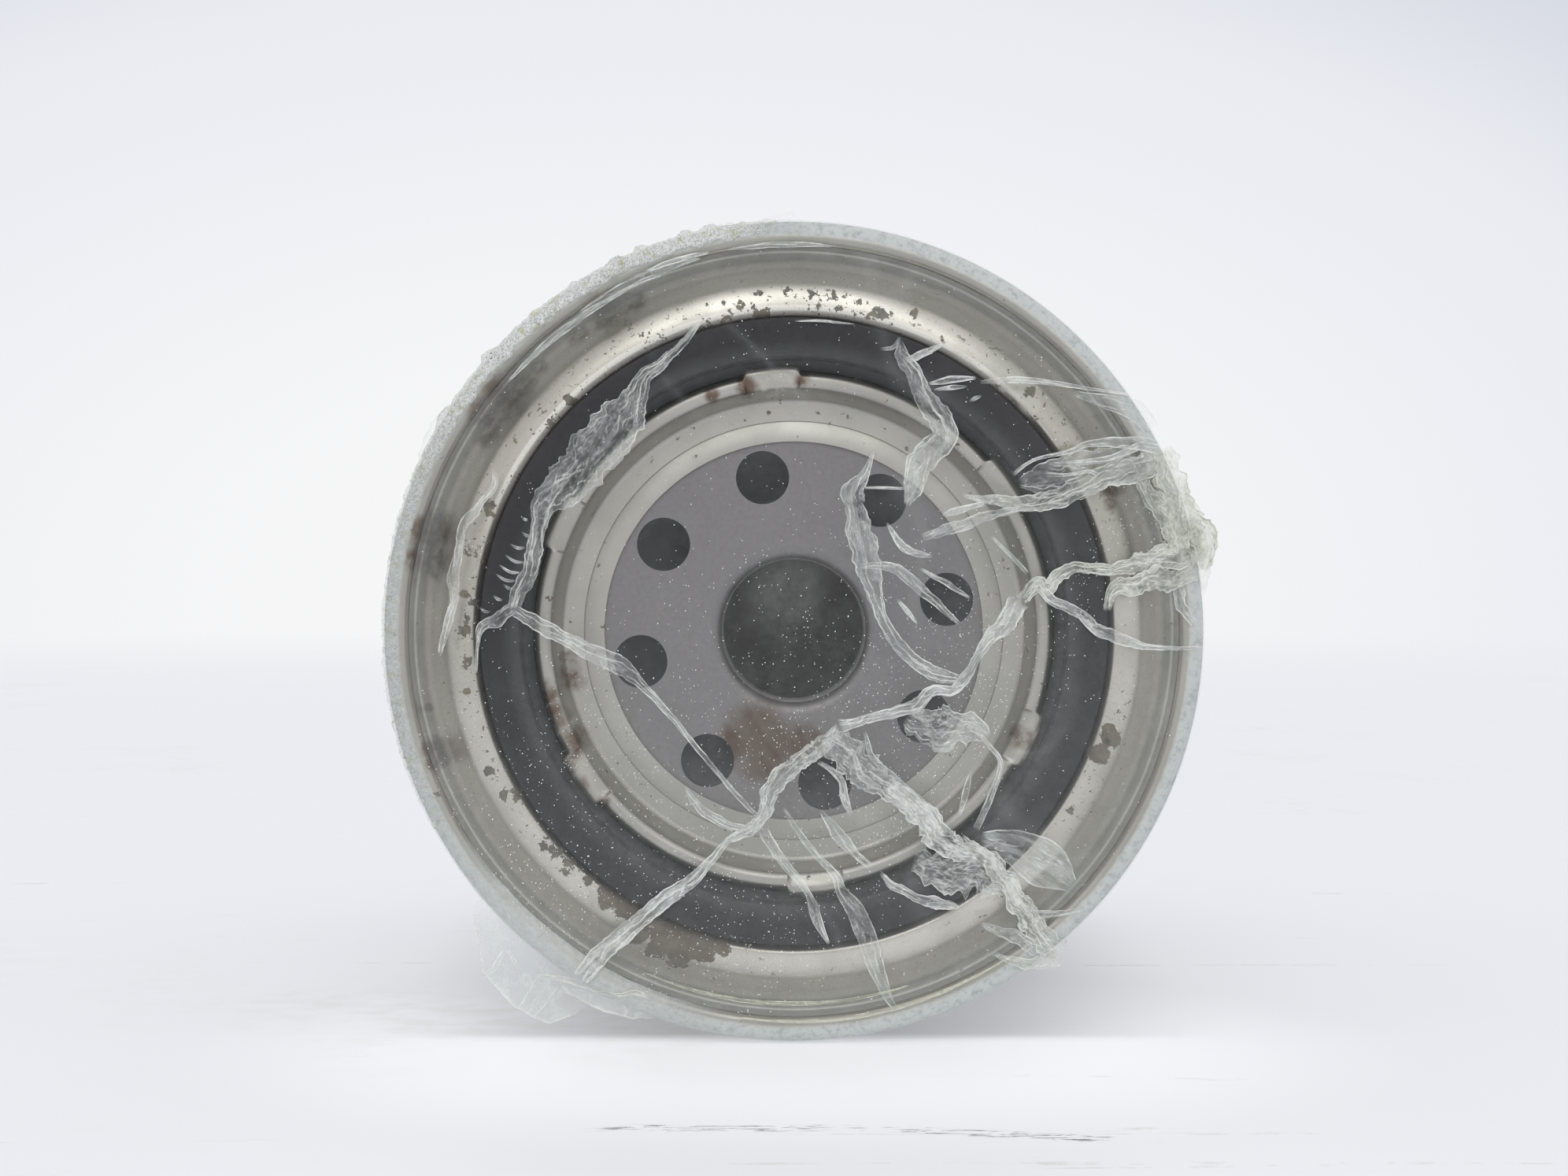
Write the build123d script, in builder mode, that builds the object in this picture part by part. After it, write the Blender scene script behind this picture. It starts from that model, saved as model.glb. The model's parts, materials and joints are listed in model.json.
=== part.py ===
from build123d import *
from math import cos, radians, sin
import os

os.makedirs("parts", exist_ok=True)

# Spin-on filter canister, in millimetres. The canister's axis is Y: y = 0 is the gasket's sealing face,
# the threaded end faces -Y and the domed end faces +Y. Sections are drawn as (radius, y) and turned about Y.
# Angles go round the axis from +X towards +Z.

# Double seam: the outer rim, five layers of sheet with a hairline gap between each
sheet = 0.52
seam_gap = 0.05
rim_r = 48.5
seam_top = 1.0
seam_foot = 4.6
layer = sheet + seam_gap
body_hook_r = rim_r - layer
cover_hook_r = rim_r - 3 * layer + seam_gap
can_r = rim_r - 3 * layer
chuck_wall_r = rim_r - 4 * layer - sheet

# Base plate with its threaded collar, 3/4 inch by 16 threads per inch
plate_y = 7.2
plate_t = 3.2
plate_r = 44.3
plate_back = plate_y + plate_t
thread_minor_r = 8.7
thread_pitch = 25.4 / 16
thread_depth = 0.82
mouth_roll_r = 1.4
collar_r = 11.4
collar_end = plate_y + 17.0
inlet_count = 8
inlet_r = 3.2
inlet_circle_r = 18.75
inlet_start = 11.5

# Seaming lid
lid_y = plate_y - sheet
lid_hole_r = 22.7
ridge_foot_r = 27.6
groove_in_r = 30.8
groove_out_r = 37.15
ridge_top = 2.6
ridge_slope = 1.3
crest_r = 40.4
crest_y = 1.9
crest_bend = 4.8
valley_y = 7.2
hook_turn = 0.44
crimp_angles = [35, 95, 155, 215, 275, 335]
crimp_arc = 12.5
weld_angles = [72, 246.5]
weld_circle_r = 26.0

# Gasket
gasket_in_r = 32.3
gasket_out_r = 37.0
gasket_shoulder_y = 4.0

# Can
dome_end = 145.0
panel_r = 29.0
panel_y = dome_end - 1.6
shoulder_r = 10.0
flute_count = 15
flute_apothem = 46.2
flute_start = 122.0
flute_full = 130.0

# Element: two end caps, pleated paper and a perforated tube
cap_r = 41.5
cap_rim = 6.8
cap_bend = 1.0
upper_cap_y = 19.72
lower_cap_y = 118.32
potting_t = 1.6
potting_in_r = 17.0
potting_out_r = 40.4
neck_r = 15.4
media_start = upper_cap_y + sheet + potting_t
media_end = lower_cap_y - sheet - potting_t
media_in_r = 17.6
media_out_r = 39.6
pleat_count = 44
pleat_tip = 0.9
pleat_root = 0.5
paper_t = 0.45
tube_in_r = 16.05
tube_t = 0.8
tube_hole_r = 2.5
tube_hole_rows = 7
tube_holes_round = 8

# Bypass valve in the lower cap
bypass_hole_r = 6.5
bypass_seat_y = lower_cap_y - sheet
cage_r = 12.6
cage_t = 0.6
cage_end = 98.0
window_length = 14.0
window_width = 12.0
stem_r = 2.0
poppet_r = 10.6
poppet_y = 115.0
poppet_t = 1.4

# Magnet set on the lower cap
cup_r = 24.0
cup_in_r = 12.4
cup_t = 0.6
cup_end = 126.6
magnet_t = 6.0
pole_t = 1.1
magnet_gap = 0.1

# Springs
support_wire_r = 1.1
support_big_r = 31.5
support_small_r = 20.0
support_turns = 3.5
bypass_wire_r = 0.6
bypass_coil_r = 7.5
bypass_turns = 5.5

# Shrink film
film_t = 0.12
film_gap = 0.1
film_mouth_r = 38.3
film_end_hole_r = 24.0


def half_plane(angle):
    # The plane through the axis at this angle: local x is the radius, local y is the axis
    a = radians(angle)
    return Plane(origin=(0, 0, 0), x_dir=(cos(a), 0, sin(a)), z_dir=(-sin(a), 0, cos(a)))


def cross_plane(y):
    # The plane across the axis at this height, facing +Y, with local x along X
    return Plane(origin=(0, y, 0), x_dir=(1, 0, 0), z_dir=(0, 1, 0))


def side_plane(angle, y):
    # The plane that faces away from the axis at this angle and height, with local x along the axis
    a = radians(angle)
    return Plane(origin=(0, y, 0), x_dir=(0, 1, 0), z_dir=(cos(a), 0, sin(a)))


def sheet_section(points, radii, thickness, side=Side.LEFT):
    # A pressed sheet: the line of one of its faces with its bends, made as thick as the sheet
    with BuildSketch() as section:
        with BuildLine():
            FilletPolyline(*points, radius=radii)
            offset(amount=thickness, side=side)
        make_face()
    return section.sketch


def ring_section(in_r, out_r, start, end):
    with BuildSketch() as section:
        with BuildLine():
            Polyline((in_r, start), (out_r, start), (out_r, end), (in_r, end), close=True)
        make_face()
    return section.sketch


def sector(points, angle, arc):
    # Centred on the angle, a section turned through an arc about the canister's axis
    with BuildPart() as turned:
        with BuildSketch(half_plane(angle + arc / 2)):
            with BuildLine():
                Polyline(*points, close=True)
            make_face()
        revolve(axis=Axis.Y, revolution_arc=arc)
    return turned.part


def coil(radius, wire_r, start, end, turns, cone_angle=0):
    rise = end - start
    with BuildPart() as spring:
        with BuildLine() as wire:
            pitch = rise / turns
            Helix(pitch, rise, radius, center=(0, start, 0), direction=(0, 1, 0), cone_angle=cone_angle)
        with BuildSketch(wire.line ^ 0):
            Circle(wire_r)
        sweep(is_frenet=True)
    return spring.part


# Lid: flange on the plate, gasket groove between a ridge and the crest, then the seam's walls and hook

lid_line = [
    (lid_hole_r, lid_y),
    (ridge_foot_r, lid_y),
    (ridge_foot_r + ridge_slope, ridge_top),
    (groove_in_r, ridge_top),
    (groove_in_r, lid_y),
    (groove_out_r, lid_y),
    (groove_out_r, crest_y),
    (crest_r, crest_y),
    (chuck_wall_r, valley_y),
    (chuck_wall_r, seam_top),
    (rim_r, seam_top),
    (rim_r, seam_foot),
    (cover_hook_r, seam_foot),
    (cover_hook_r, seam_top + 2 * layer + hook_turn),
]
lid_bends = [0.8, 0.9, 0.9, 0.4, 0.4, 1.2, crest_bend, 0.35, 0.8, 1.3, 0.7, 0.7]
crimp_core = [
    (groove_in_r - 2.2, lid_y - 0.4),
    (groove_in_r - 1.6, ridge_top + 0.25),
    (groove_in_r - 0.2, ridge_top + 0.25),
    (groove_in_r - 0.2, lid_y - 0.4),
]
crimp_lug = [
    (groove_in_r - 0.8, ridge_top + 0.2),
    (groove_in_r + 0.7, ridge_top + 0.2),
    (groove_in_r + 0.9, gasket_shoulder_y - 0.15),
    (groove_in_r - 0.8, gasket_shoulder_y - 0.15),
]
crimp_dent = [
    (ridge_foot_r - 0.3, ridge_top - 0.6),
    (groove_in_r - 0.9, ridge_top - 0.6),
    (groove_in_r - 0.9, ridge_top + 1.3),
    (ridge_foot_r + 0.9, ridge_top + 2.6),
    (ridge_foot_r - 0.3, ridge_top + 2.6),
]
with BuildPart() as seaming_lid:
    revolve(sheet_section(lid_line, lid_bends, sheet), axis=Axis.Y)
    for angle in crimp_angles:
        add(sector(crimp_core, angle, crimp_arc))
        add(sector(crimp_lug, angle, crimp_arc - 1.5))
        add(sector(crimp_dent, angle, crimp_arc - 1.5), mode=Mode.SUBTRACT)
    for angle in weld_angles:
        spot = (weld_circle_r * cos(radians(angle)), lid_y, weld_circle_r * sin(radians(angle)))
        with Locations(spot):
            Sphere(radius=0.9, mode=Mode.SUBTRACT)
seaming_lid.part.label = "seaming_lid"

# Base plate: the collar is drawn inward from the plate, and its bore carries the thread as rings

thread_length = collar_end - 0.7 - plate_y - mouth_roll_r
groove_count = int(thread_length / thread_pitch)
with BuildPart() as base_plate:
    with BuildSketch():
        with BuildLine():
            FilletPolyline(
                (thread_minor_r, plate_y),
                (plate_r, plate_y),
                (plate_r, plate_back),
                (collar_r, plate_back),
                (collar_r, collar_end),
                (thread_minor_r, collar_end),
                radius=[mouth_roll_r, 0.6, 0.6, 1.6, 0.4, 0.7],
                close=True,
            )
        make_face()
    revolve(axis=Axis.Y)
    for i in range(groove_count):
        middle = plate_y + mouth_roll_r + (i + 0.6) * thread_pitch
        with BuildSketch():
            with BuildLine():
                Polyline(
                    (thread_minor_r - 0.2, middle - 0.71),
                    (thread_minor_r + thread_depth, middle - 0.1),
                    (thread_minor_r + thread_depth, middle + 0.1),
                    (thread_minor_r - 0.2, middle + 0.71),
                    close=True,
                )
            make_face()
        revolve(axis=Axis.Y, mode=Mode.SUBTRACT)
    with BuildSketch(cross_plane(plate_y)):
        with PolarLocations(inlet_circle_r, inlet_count, start_angle=-inlet_start):
            Circle(inlet_r)
    extrude(amount=plate_t, mode=Mode.SUBTRACT)
base_plate.part.label = "base_plate"

# Gasket: square ring with a lower shoulder inside, which the lid's crimps hold down

with BuildPart() as gasket:
    with BuildSketch():
        with BuildLine():
            FilletPolyline(
                (groove_in_r + 0.1, lid_y),
                (gasket_out_r, lid_y),
                (gasket_out_r, 0),
                (gasket_in_r, 0),
                (gasket_in_r, gasket_shoulder_y),
                (groove_in_r + 0.1, gasket_shoulder_y),
                radius=[0.5, 0.5, 0.35, 0.3, 0.2, 0.2],
                close=True,
            )
        make_face()
    revolve(axis=Axis.Y)
gasket.part.label = "gasket"

# Can: drawn shell with a stepped dome, flats for a cap wrench, and the seam's body hook

hook_top = seam_top + layer
wall_in_r = can_r - sheet


def can_solid(wall_r, end, corner_r, middle_y, apothem):
    # The can as a solid block up to one of its faces, with the wrench flats cut off its shoulder
    with BuildPart() as block:
        with BuildSketch():
            with BuildLine():
                FilletPolyline(
                    (0, hook_top + 4),
                    (wall_r, hook_top + 4),
                    (wall_r, end),
                    (panel_r + 2, end),
                    (panel_r, middle_y),
                    (0, middle_y),
                    radius=[0, 0, corner_r, 2, 2, 0],
                    close=True,
                )
            make_face()
        revolve(axis=Axis.Y)
        for i in range(flute_count):
            with BuildSketch(half_plane(360 / flute_count * i)):
                with BuildLine():
                    Polyline(
                        (apothem, flute_full),
                        (apothem + 1.2, flute_start),
                        (apothem + 1.2, dome_end + 2),
                        (apothem, dome_end + 2),
                        close=True,
                    )
                make_face()
            extrude(amount=11, both=True, mode=Mode.SUBTRACT)
    return block.part


hook_line = [
    (body_hook_r, seam_foot - 0.6),
    (body_hook_r, hook_top),
    (wall_in_r, hook_top),
    (wall_in_r, hook_top + 5),
]
with BuildPart() as can_shell:
    add(can_solid(can_r, dome_end + sheet, shoulder_r + sheet, panel_y + sheet, flute_apothem))
    void = can_solid(wall_in_r, dome_end, shoulder_r, panel_y, flute_apothem - sheet)
    add(void, mode=Mode.SUBTRACT)
    revolve(sheet_section(hook_line, [0.85, 0.7], sheet, Side.RIGHT), axis=Axis.Y)
can_shell.part.label = "can_shell"

bead_gap = 0.06
bead_t = 0.32
bead_start = seam_top + 2 * layer + bead_gap
bead_in_r = cover_hook_r + bead_gap
bead_out_r = cover_hook_r + sheet - bead_gap
with BuildPart() as seam_compound:
    revolve(ring_section(bead_in_r, bead_out_r, bead_start, bead_start + bead_t), axis=Axis.Y)
seam_compound.part.label = "seam_compound"

# Anti-drain-back valve: a hub round the collar and a soft skirt that covers the inlets from behind

hub_r = 16.0
hub_start = 17.0
hub_end = upper_cap_y - 0.12
skirt_r = 26.0
with BuildPart() as drain_back_valve:
    with BuildSketch():
        with BuildLine():
            FilletPolyline(
                (collar_r + 0.15, hub_start),
                (hub_r, hub_start),
                (skirt_r - 1.2, plate_back),
                (skirt_r, plate_back),
                (skirt_r, plate_back + 0.9),
                (hub_r + 1.4, hub_end - 0.8),
                (hub_r + 0.2, hub_end),
                (collar_r + 0.15, hub_end),
                radius=[0.3, 0.8, 0.2, 0.3, 0.3, 0.6, 0.4, 0.3],
                close=True,
            )
        make_face()
    revolve(axis=Axis.Y)
drain_back_valve.part.label = "drain_back_valve"

# Element

upper_cap_line = [
    (neck_r, upper_cap_y + 5.5),
    (neck_r, upper_cap_y),
    (cap_r, upper_cap_y),
    (cap_r, upper_cap_y + cap_rim),
]
with BuildPart() as upper_end_cap:
    revolve(sheet_section(upper_cap_line, cap_bend, sheet), axis=Axis.Y)
upper_end_cap.part.label = "upper_end_cap"

lower_cap_line = [
    (bypass_hole_r, lower_cap_y),
    (cap_r, lower_cap_y),
    (cap_r, lower_cap_y - cap_rim),
]
with BuildPart() as lower_end_cap:
    revolve(sheet_section(lower_cap_line, cap_bend, sheet, Side.RIGHT), axis=Axis.Y)
lower_end_cap.part.label = "lower_end_cap"

with BuildPart() as outlet_seal:
    with BuildSketch():
        with BuildLine():
            FilletPolyline(
                (collar_r + 0.9, upper_cap_y + 0.3),
                (neck_r - 0.05, upper_cap_y + 1.0),
                (neck_r - 0.05, upper_cap_y + 5.2),
                (collar_r + 0.9, upper_cap_y + 5.2),
                (collar_r + 0.15, upper_cap_y + 2.6),
                radius=[0.2, 0.3, 0.3, 0.3, 0.5],
                close=True,
            )
        make_face()
    revolve(axis=Axis.Y)
outlet_seal.part.label = "outlet_seal"

with BuildPart() as upper_potting:
    revolve(ring_section(potting_in_r, potting_out_r, upper_cap_y + sheet, media_start), axis=Axis.Y)
upper_potting.part.label = "upper_potting"

with BuildPart() as lower_potting:
    revolve(ring_section(potting_in_r, potting_out_r, media_end, lower_cap_y - sheet), axis=Axis.Y)
lower_potting.part.label = "lower_potting"


def pleat_outline(out_r, in_r, tip, root):
    # Zigzag ring of pleats with flat tips and roots, given as half widths
    points = []
    for i in range(pleat_count):
        for angle, radius, across in (
            (360 * i / pleat_count, out_r, tip),
            (360 * (i + 0.5) / pleat_count, in_r, root),
        ):
            a = radians(angle)
            for side in (-across, across):
                points.append((radius * cos(a) - side * sin(a), radius * sin(a) + side * cos(a)))
    return points


with BuildPart() as pleated_media:
    with BuildSketch(cross_plane(media_start)):
        with BuildLine():
            Polyline(*pleat_outline(media_out_r, media_in_r + paper_t, pleat_tip, pleat_root), close=True)
        make_face()
        with BuildLine():
            inner_tip = pleat_tip - paper_t
            inner = pleat_outline(media_out_r - paper_t, media_in_r, inner_tip, pleat_root + paper_t)
            Polyline(*inner, close=True)
        make_face(mode=Mode.SUBTRACT)
    extrude(amount=media_end - media_start)
pleated_media.part.label = "pleated_media"

clip_t = 0.5
with BuildPart() as media_seam_clip:
    with BuildSketch(cross_plane(media_start + 6)):
        with Locations((media_out_r - 1.75, 0)):
            Rectangle(2 * clip_t + 4.5, 2 * (pleat_tip + 0.15 + clip_t))
        with Locations((media_out_r - 2.4, 0)):
            Rectangle(2 * clip_t + 4.0, 2 * (pleat_tip + 0.15), mode=Mode.SUBTRACT)
    extrude(amount=media_end - media_start - 12)
media_seam_clip.part.label = "media_seam_clip"

tube_start = upper_cap_y + cap_bend
with BuildPart() as centre_tube:
    revolve(ring_section(tube_in_r, tube_in_r + tube_t, tube_start, lower_cap_y - sheet), axis=Axis.Y)
    for row in range(tube_hole_rows):
        y = media_start + 8 + row * (media_end - media_start - 34) / (tube_hole_rows - 1)
        turn = 180 / tube_holes_round * (row % 2)
        for i in range(tube_holes_round // 2):
            with BuildSketch(side_plane(turn + 360 / tube_holes_round * i, y)):
                Circle(tube_hole_r)
            extrude(amount=tube_in_r + 2 * tube_t, both=True, mode=Mode.SUBTRACT)
centre_tube.part.label = "centre_tube"

# Bypass valve: the poppet closes on the lower cap from inside and opens towards -Y

window_y = (cage_end + bypass_seat_y) / 2
cage_line = [
    (tube_in_r - 0.6, bypass_seat_y - cage_t),
    (cage_r, bypass_seat_y - cage_t),
    (cage_r, cage_end),
    (stem_r + 0.3, cage_end),
]
with BuildPart() as bypass_retainer:
    revolve(sheet_section(cage_line, 0.8, cage_t, Side.RIGHT), axis=Axis.Y)
    for angle in (0, 90):
        with BuildSketch(side_plane(angle, window_y)):
            RectangleRounded(window_length, window_width, 2)
        extrude(amount=cage_r + 1, both=True, mode=Mode.SUBTRACT)
bypass_retainer.part.label = "bypass_retainer"

with BuildPart() as bypass_poppet:
    with BuildSketch():
        with BuildLine():
            FilletPolyline(
                (0, cage_end - 4),
                (stem_r, cage_end - 4),
                (stem_r, poppet_y),
                (poppet_r, poppet_y),
                (poppet_r, poppet_y + poppet_t),
                (0, poppet_y + poppet_t),
                radius=[0, 0.5, 0.6, 0.3, 0.3, 0],
                close=True,
            )
        make_face()
    revolve(axis=Axis.Y)
bypass_poppet.part.label = "bypass_poppet"

seal_start = poppet_y + poppet_t
with BuildPart() as bypass_seal:
    revolve(ring_section(bypass_hole_r + 0.4, poppet_r - 0.3, seal_start, bypass_seat_y - 0.05), axis=Axis.Y)
bypass_seal.part.label = "bypass_seal"

bypass_start = cage_end + cage_t + bypass_wire_r
with BuildPart() as bypass_spring:
    add(coil(bypass_coil_r, bypass_wire_r, bypass_start, poppet_y - bypass_wire_r, bypass_turns))
bypass_spring.part.label = "bypass_spring"

# Magnet set: a pressed channel on the lower cap holds the ring magnet under a steel pole ring

cup_line = [(cup_r, cup_end), (cup_r, lower_cap_y), (cup_in_r, lower_cap_y), (cup_in_r, cup_end)]
with BuildPart() as magnet_cup:
    revolve(sheet_section(cup_line, 0.8, cup_t, Side.RIGHT), axis=Axis.Y)
magnet_cup.part.label = "magnet_cup"

magnet_in_r = cup_in_r + cup_t + magnet_gap
magnet_out_r = cup_r - cup_t - magnet_gap
magnet_start = lower_cap_y + cup_t
with BuildPart() as ring_magnet:
    revolve(ring_section(magnet_in_r, magnet_out_r, magnet_start, magnet_start + magnet_t), axis=Axis.Y)
    chamfer(ring_magnet.edges(), length=0.4)
ring_magnet.part.label = "ring_magnet"

with BuildPart() as pole_ring:
    pole_start = magnet_start + magnet_t
    revolve(ring_section(magnet_in_r, magnet_out_r, pole_start, pole_start + pole_t), axis=Axis.Y)
pole_ring.part.label = "pole_ring"

# Support spring, between a seat on the lower cap and the dome

seat_in_r = 26.0
seat_out_r = 34.0
seat_line = [(seat_in_r, lower_cap_y), (seat_out_r, lower_cap_y), (seat_out_r + 0.9, lower_cap_y + 2.9)]
with BuildPart() as spring_seat:
    revolve(sheet_section(seat_line, 1.0, cup_t), axis=Axis.Y)
spring_seat.part.label = "spring_seat"

spring_start = lower_cap_y + cup_t + support_wire_r
spring_end = panel_y - support_wire_r
spring_cone = (support_small_r - support_big_r) / (spring_end - spring_start)
with BuildPart() as support_spring:
    cone_angle = Vector(1, spring_cone).get_signed_angle(Vector(1, 0), Vector(0, 0, -1))
    add(coil(support_big_r, support_wire_r, spring_start, spring_end, support_turns, cone_angle))
support_spring.part.label = "support_spring"

# Shrink film: over the rim and the can, open over the gasket and the thread and at the dome's middle

film_r = can_r + film_gap
film_rim_r = rim_r + film_gap
film_line = [
    (film_mouth_r, -0.1),
    (rim_r - 1.6, seam_top - film_gap - 0.06),
    (film_rim_r, seam_top - film_gap),
    (film_rim_r, seam_foot + 0.1),
    (film_r, seam_foot + 3.4),
    (film_r, dome_end + sheet + film_gap),
    (film_end_hole_r, dome_end + sheet + film_gap),
]
with BuildPart() as shrink_film:
    revolve(
        sheet_section(film_line, [2.0, 1.3, 0.6, 1.0, shoulder_r + sheet + film_gap], film_t, Side.RIGHT),
        axis=Axis.Y,
    )
shrink_film.part.label = "shrink_film"

pieces = [
    seaming_lid,
    base_plate,
    gasket,
    can_shell,
    seam_compound,
    drain_back_valve,
    upper_end_cap,
    lower_end_cap,
    outlet_seal,
    upper_potting,
    lower_potting,
    pleated_media,
    media_seam_clip,
    centre_tube,
    bypass_retainer,
    bypass_poppet,
    bypass_seal,
    bypass_spring,
    magnet_cup,
    ring_magnet,
    pole_ring,
    spring_seat,
    support_spring,
    shrink_film,
]
for piece in pieces:
    export_step(piece.part, f"parts/{piece.part.label}.step")
    print(piece.part.label, round(piece.part.volume, 1), "mm3")
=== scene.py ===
import json
import math
import random

import bmesh
import bpy
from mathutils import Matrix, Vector, noise

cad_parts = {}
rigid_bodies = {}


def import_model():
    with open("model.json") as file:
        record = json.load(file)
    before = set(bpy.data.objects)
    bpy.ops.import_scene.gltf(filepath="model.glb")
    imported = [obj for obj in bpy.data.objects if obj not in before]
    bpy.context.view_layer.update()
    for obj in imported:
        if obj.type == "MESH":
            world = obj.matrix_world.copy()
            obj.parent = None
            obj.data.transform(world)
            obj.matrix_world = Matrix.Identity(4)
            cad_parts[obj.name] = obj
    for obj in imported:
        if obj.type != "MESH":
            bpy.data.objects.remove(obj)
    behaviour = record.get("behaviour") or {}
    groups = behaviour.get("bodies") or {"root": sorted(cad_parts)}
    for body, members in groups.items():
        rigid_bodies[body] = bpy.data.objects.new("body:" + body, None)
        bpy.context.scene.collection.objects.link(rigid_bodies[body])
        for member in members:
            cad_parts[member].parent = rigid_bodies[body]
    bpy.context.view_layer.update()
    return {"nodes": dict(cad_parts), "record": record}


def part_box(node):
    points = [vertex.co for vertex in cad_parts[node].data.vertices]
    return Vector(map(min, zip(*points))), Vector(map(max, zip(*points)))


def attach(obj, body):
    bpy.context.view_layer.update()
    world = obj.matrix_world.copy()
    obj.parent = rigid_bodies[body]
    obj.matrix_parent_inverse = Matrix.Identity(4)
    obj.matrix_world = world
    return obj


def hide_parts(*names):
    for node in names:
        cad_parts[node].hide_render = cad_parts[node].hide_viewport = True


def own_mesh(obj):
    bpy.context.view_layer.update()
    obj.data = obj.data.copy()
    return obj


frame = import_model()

mm = 0.001
nodes = frame["nodes"]
scene = bpy.context.scene
print("frame loaded:", len(nodes), "nodes")

# sizes that the frame gives, in millimetres
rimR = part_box("seaming_lid")[1].x / mm
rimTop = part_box("seaming_lid")[0].y / mm
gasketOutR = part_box("gasket")[1].x / mm
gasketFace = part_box("gasket")[0].y / mm
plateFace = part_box("base_plate")[0].y / mm
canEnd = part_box("can_shell")[1].y / mm
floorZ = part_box("shrink_film")[0].z


def rgb(red, green, blue):  # 0-255 screen colour to the linear colour that a shader wants
    def plain(value):
        value /= 255
        return value / 12.92 if value <= 0.04045 else ((value + 0.055) / 1.055) ** 2.4
    return (plain(red), plain(green), plain(blue), 1)


class Field:  # a value in a shader: arithmetic with it adds math nodes to its tree
    def __init__(self, socket):
        self.socket = socket

    def __add__(self, other):
        return calc("ADD", self, other)

    def __sub__(self, other):
        return calc("SUBTRACT", self, other)

    def __rsub__(self, other):
        return calc("SUBTRACT", other, self)

    def __mul__(self, other):
        return calc("MULTIPLY", self, other)

    def __truediv__(self, other):
        return calc("DIVIDE", self, other)

    def __abs__(self):
        return calc("ABSOLUTE", self)


def connect(socket, value):
    if isinstance(value, Field):
        socket.id_data.links.new(value.socket, socket)
    else:
        socket.default_value = value


def addNode(tree, kind, inputs=None, **settings):
    made = tree.nodes.new(kind)
    for setting, value in settings.items():
        setattr(made, setting, value)
    for slot, value in (inputs or {}).items():
        connect(made.inputs[slot], value)
    return made


def field(kind, inputs, output=0, **settings):  # the field that a new node makes of its inputs
    tree = next(value.socket.id_data for value in inputs.values() if isinstance(value, Field))
    return Field(addNode(tree, kind, inputs, **settings).outputs[output])


def calc(operation, first, second=0.0):
    return field("ShaderNodeMath", {0: first, 1: second, 2: 0.0}, operation=operation)


def most(first, second):
    return calc("MAXIMUM", first, second)


def vectorCalc(operation, first, second=(0, 0, 0), output="Value"):
    return field("ShaderNodeVectorMath", {0: first, 1: second}, output, operation=operation)


def stretched(where, x=1.0, y=1.0, z=1.0):
    return vectorCalc("MULTIPLY", where, (x, y, z), "Vector")


def axis(where, letter):
    return field("ShaderNodeSeparateXYZ", {0: where}, letter)


def spread(value, low, high, outLow=0.0, outHigh=1.0):  # eases value from low..high into outLow..outHigh
    inputs = {0: value, 1: low, 2: high, 3: outLow, 4: outHigh}
    return field("ShaderNodeMapRange", inputs, interpolation_type="SMOOTHSTEP")


def grain(where, scale, detail=3.0, roughness=0.55, distortion=0.0):
    inputs = {"Vector": where, "Scale": scale, "Detail": detail, "Roughness": roughness}
    return field("ShaderNodeTexNoise", inputs | {"Distortion": distortion}, "Fac")


def mixed(amount, first, second, how="MIX"):
    return field("ShaderNodeMix", {0: amount, 6: first, 7: second}, 2, data_type="RGBA", blend_type=how)


def newMaterial(name):
    material = bpy.data.materials.new(name)
    material.use_nodes = True
    tree = material.node_tree
    tree.nodes.clear()
    shader = addNode(tree, "ShaderNodeBsdfPrincipled")
    addNode(tree, "ShaderNodeOutputMaterial", {"Surface": Field(shader.outputs[0])})
    place = Field(addNode(tree, "ShaderNodeTexCoord").outputs["Object"])
    return material, shader, place


def stored(shader, name, output="Fac"):  # a value that a mesh holds at its points
    return Field(addNode(shader.id_data, "ShaderNodeAttribute", attribute_name=name).outputs[output])


def wire(shader, **sockets):  # Base_Color=..., Roughness=...
    for name, value in sockets.items():
        connect(shader.inputs[name.replace("_", " ")], value)


def bumped(shader, height, strength, distance):
    bump = field("ShaderNodeBump", {"Height": height, "Strength": strength, "Distance": distance})
    connect(shader.inputs["Normal"], bump)


def polar(place):  # angle in degrees from +X towards +Z, and radius in millimetres
    turn = calc("ARCTAN2", axis(place, "Z"), axis(place, "X")) * (180 / math.pi)
    return turn, vectorCalc("LENGTH", stretched(place, 1 / mm, 0, 1 / mm))


def spots(place, marks, ragged, raggedScale):
    # soft blots at (angle, radius, size) in degrees and millimetres, with ragged edges
    flat = stretched(place, 1 / mm, 0, 1 / mm)
    rough = (grain(place, raggedScale, 5) - 0.5) * ragged
    total = None
    for angle, radius, size in marks:
        a = math.radians(angle)
        away = vectorCalc("DISTANCE", flat, (radius * math.cos(a), 0, radius * math.sin(a)))
        blot = spread(away / size + rough, 1.0, 0.35)
        total = blot if total is None else most(total, blot)
    return total


def sector(turn, start, end, soft=12.0):  # 1 between two angles, with soft ends
    middle, half = (start + end) / 2, (end - start) / 2
    wrapped = field("ShaderNodeMath", {0: turn - middle, 1: -180.0, 2: 180.0}, operation="WRAP")
    return spread(abs(wrapped), half + soft / 2, half - soft / 2)


def ring(radius, inner, outer, soft=0.5):  # 1 between two radii
    rise = spread(radius, inner - soft / 2, inner + soft / 2)
    return rise * spread(radius, outer + soft / 2, outer - soft / 2)


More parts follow.
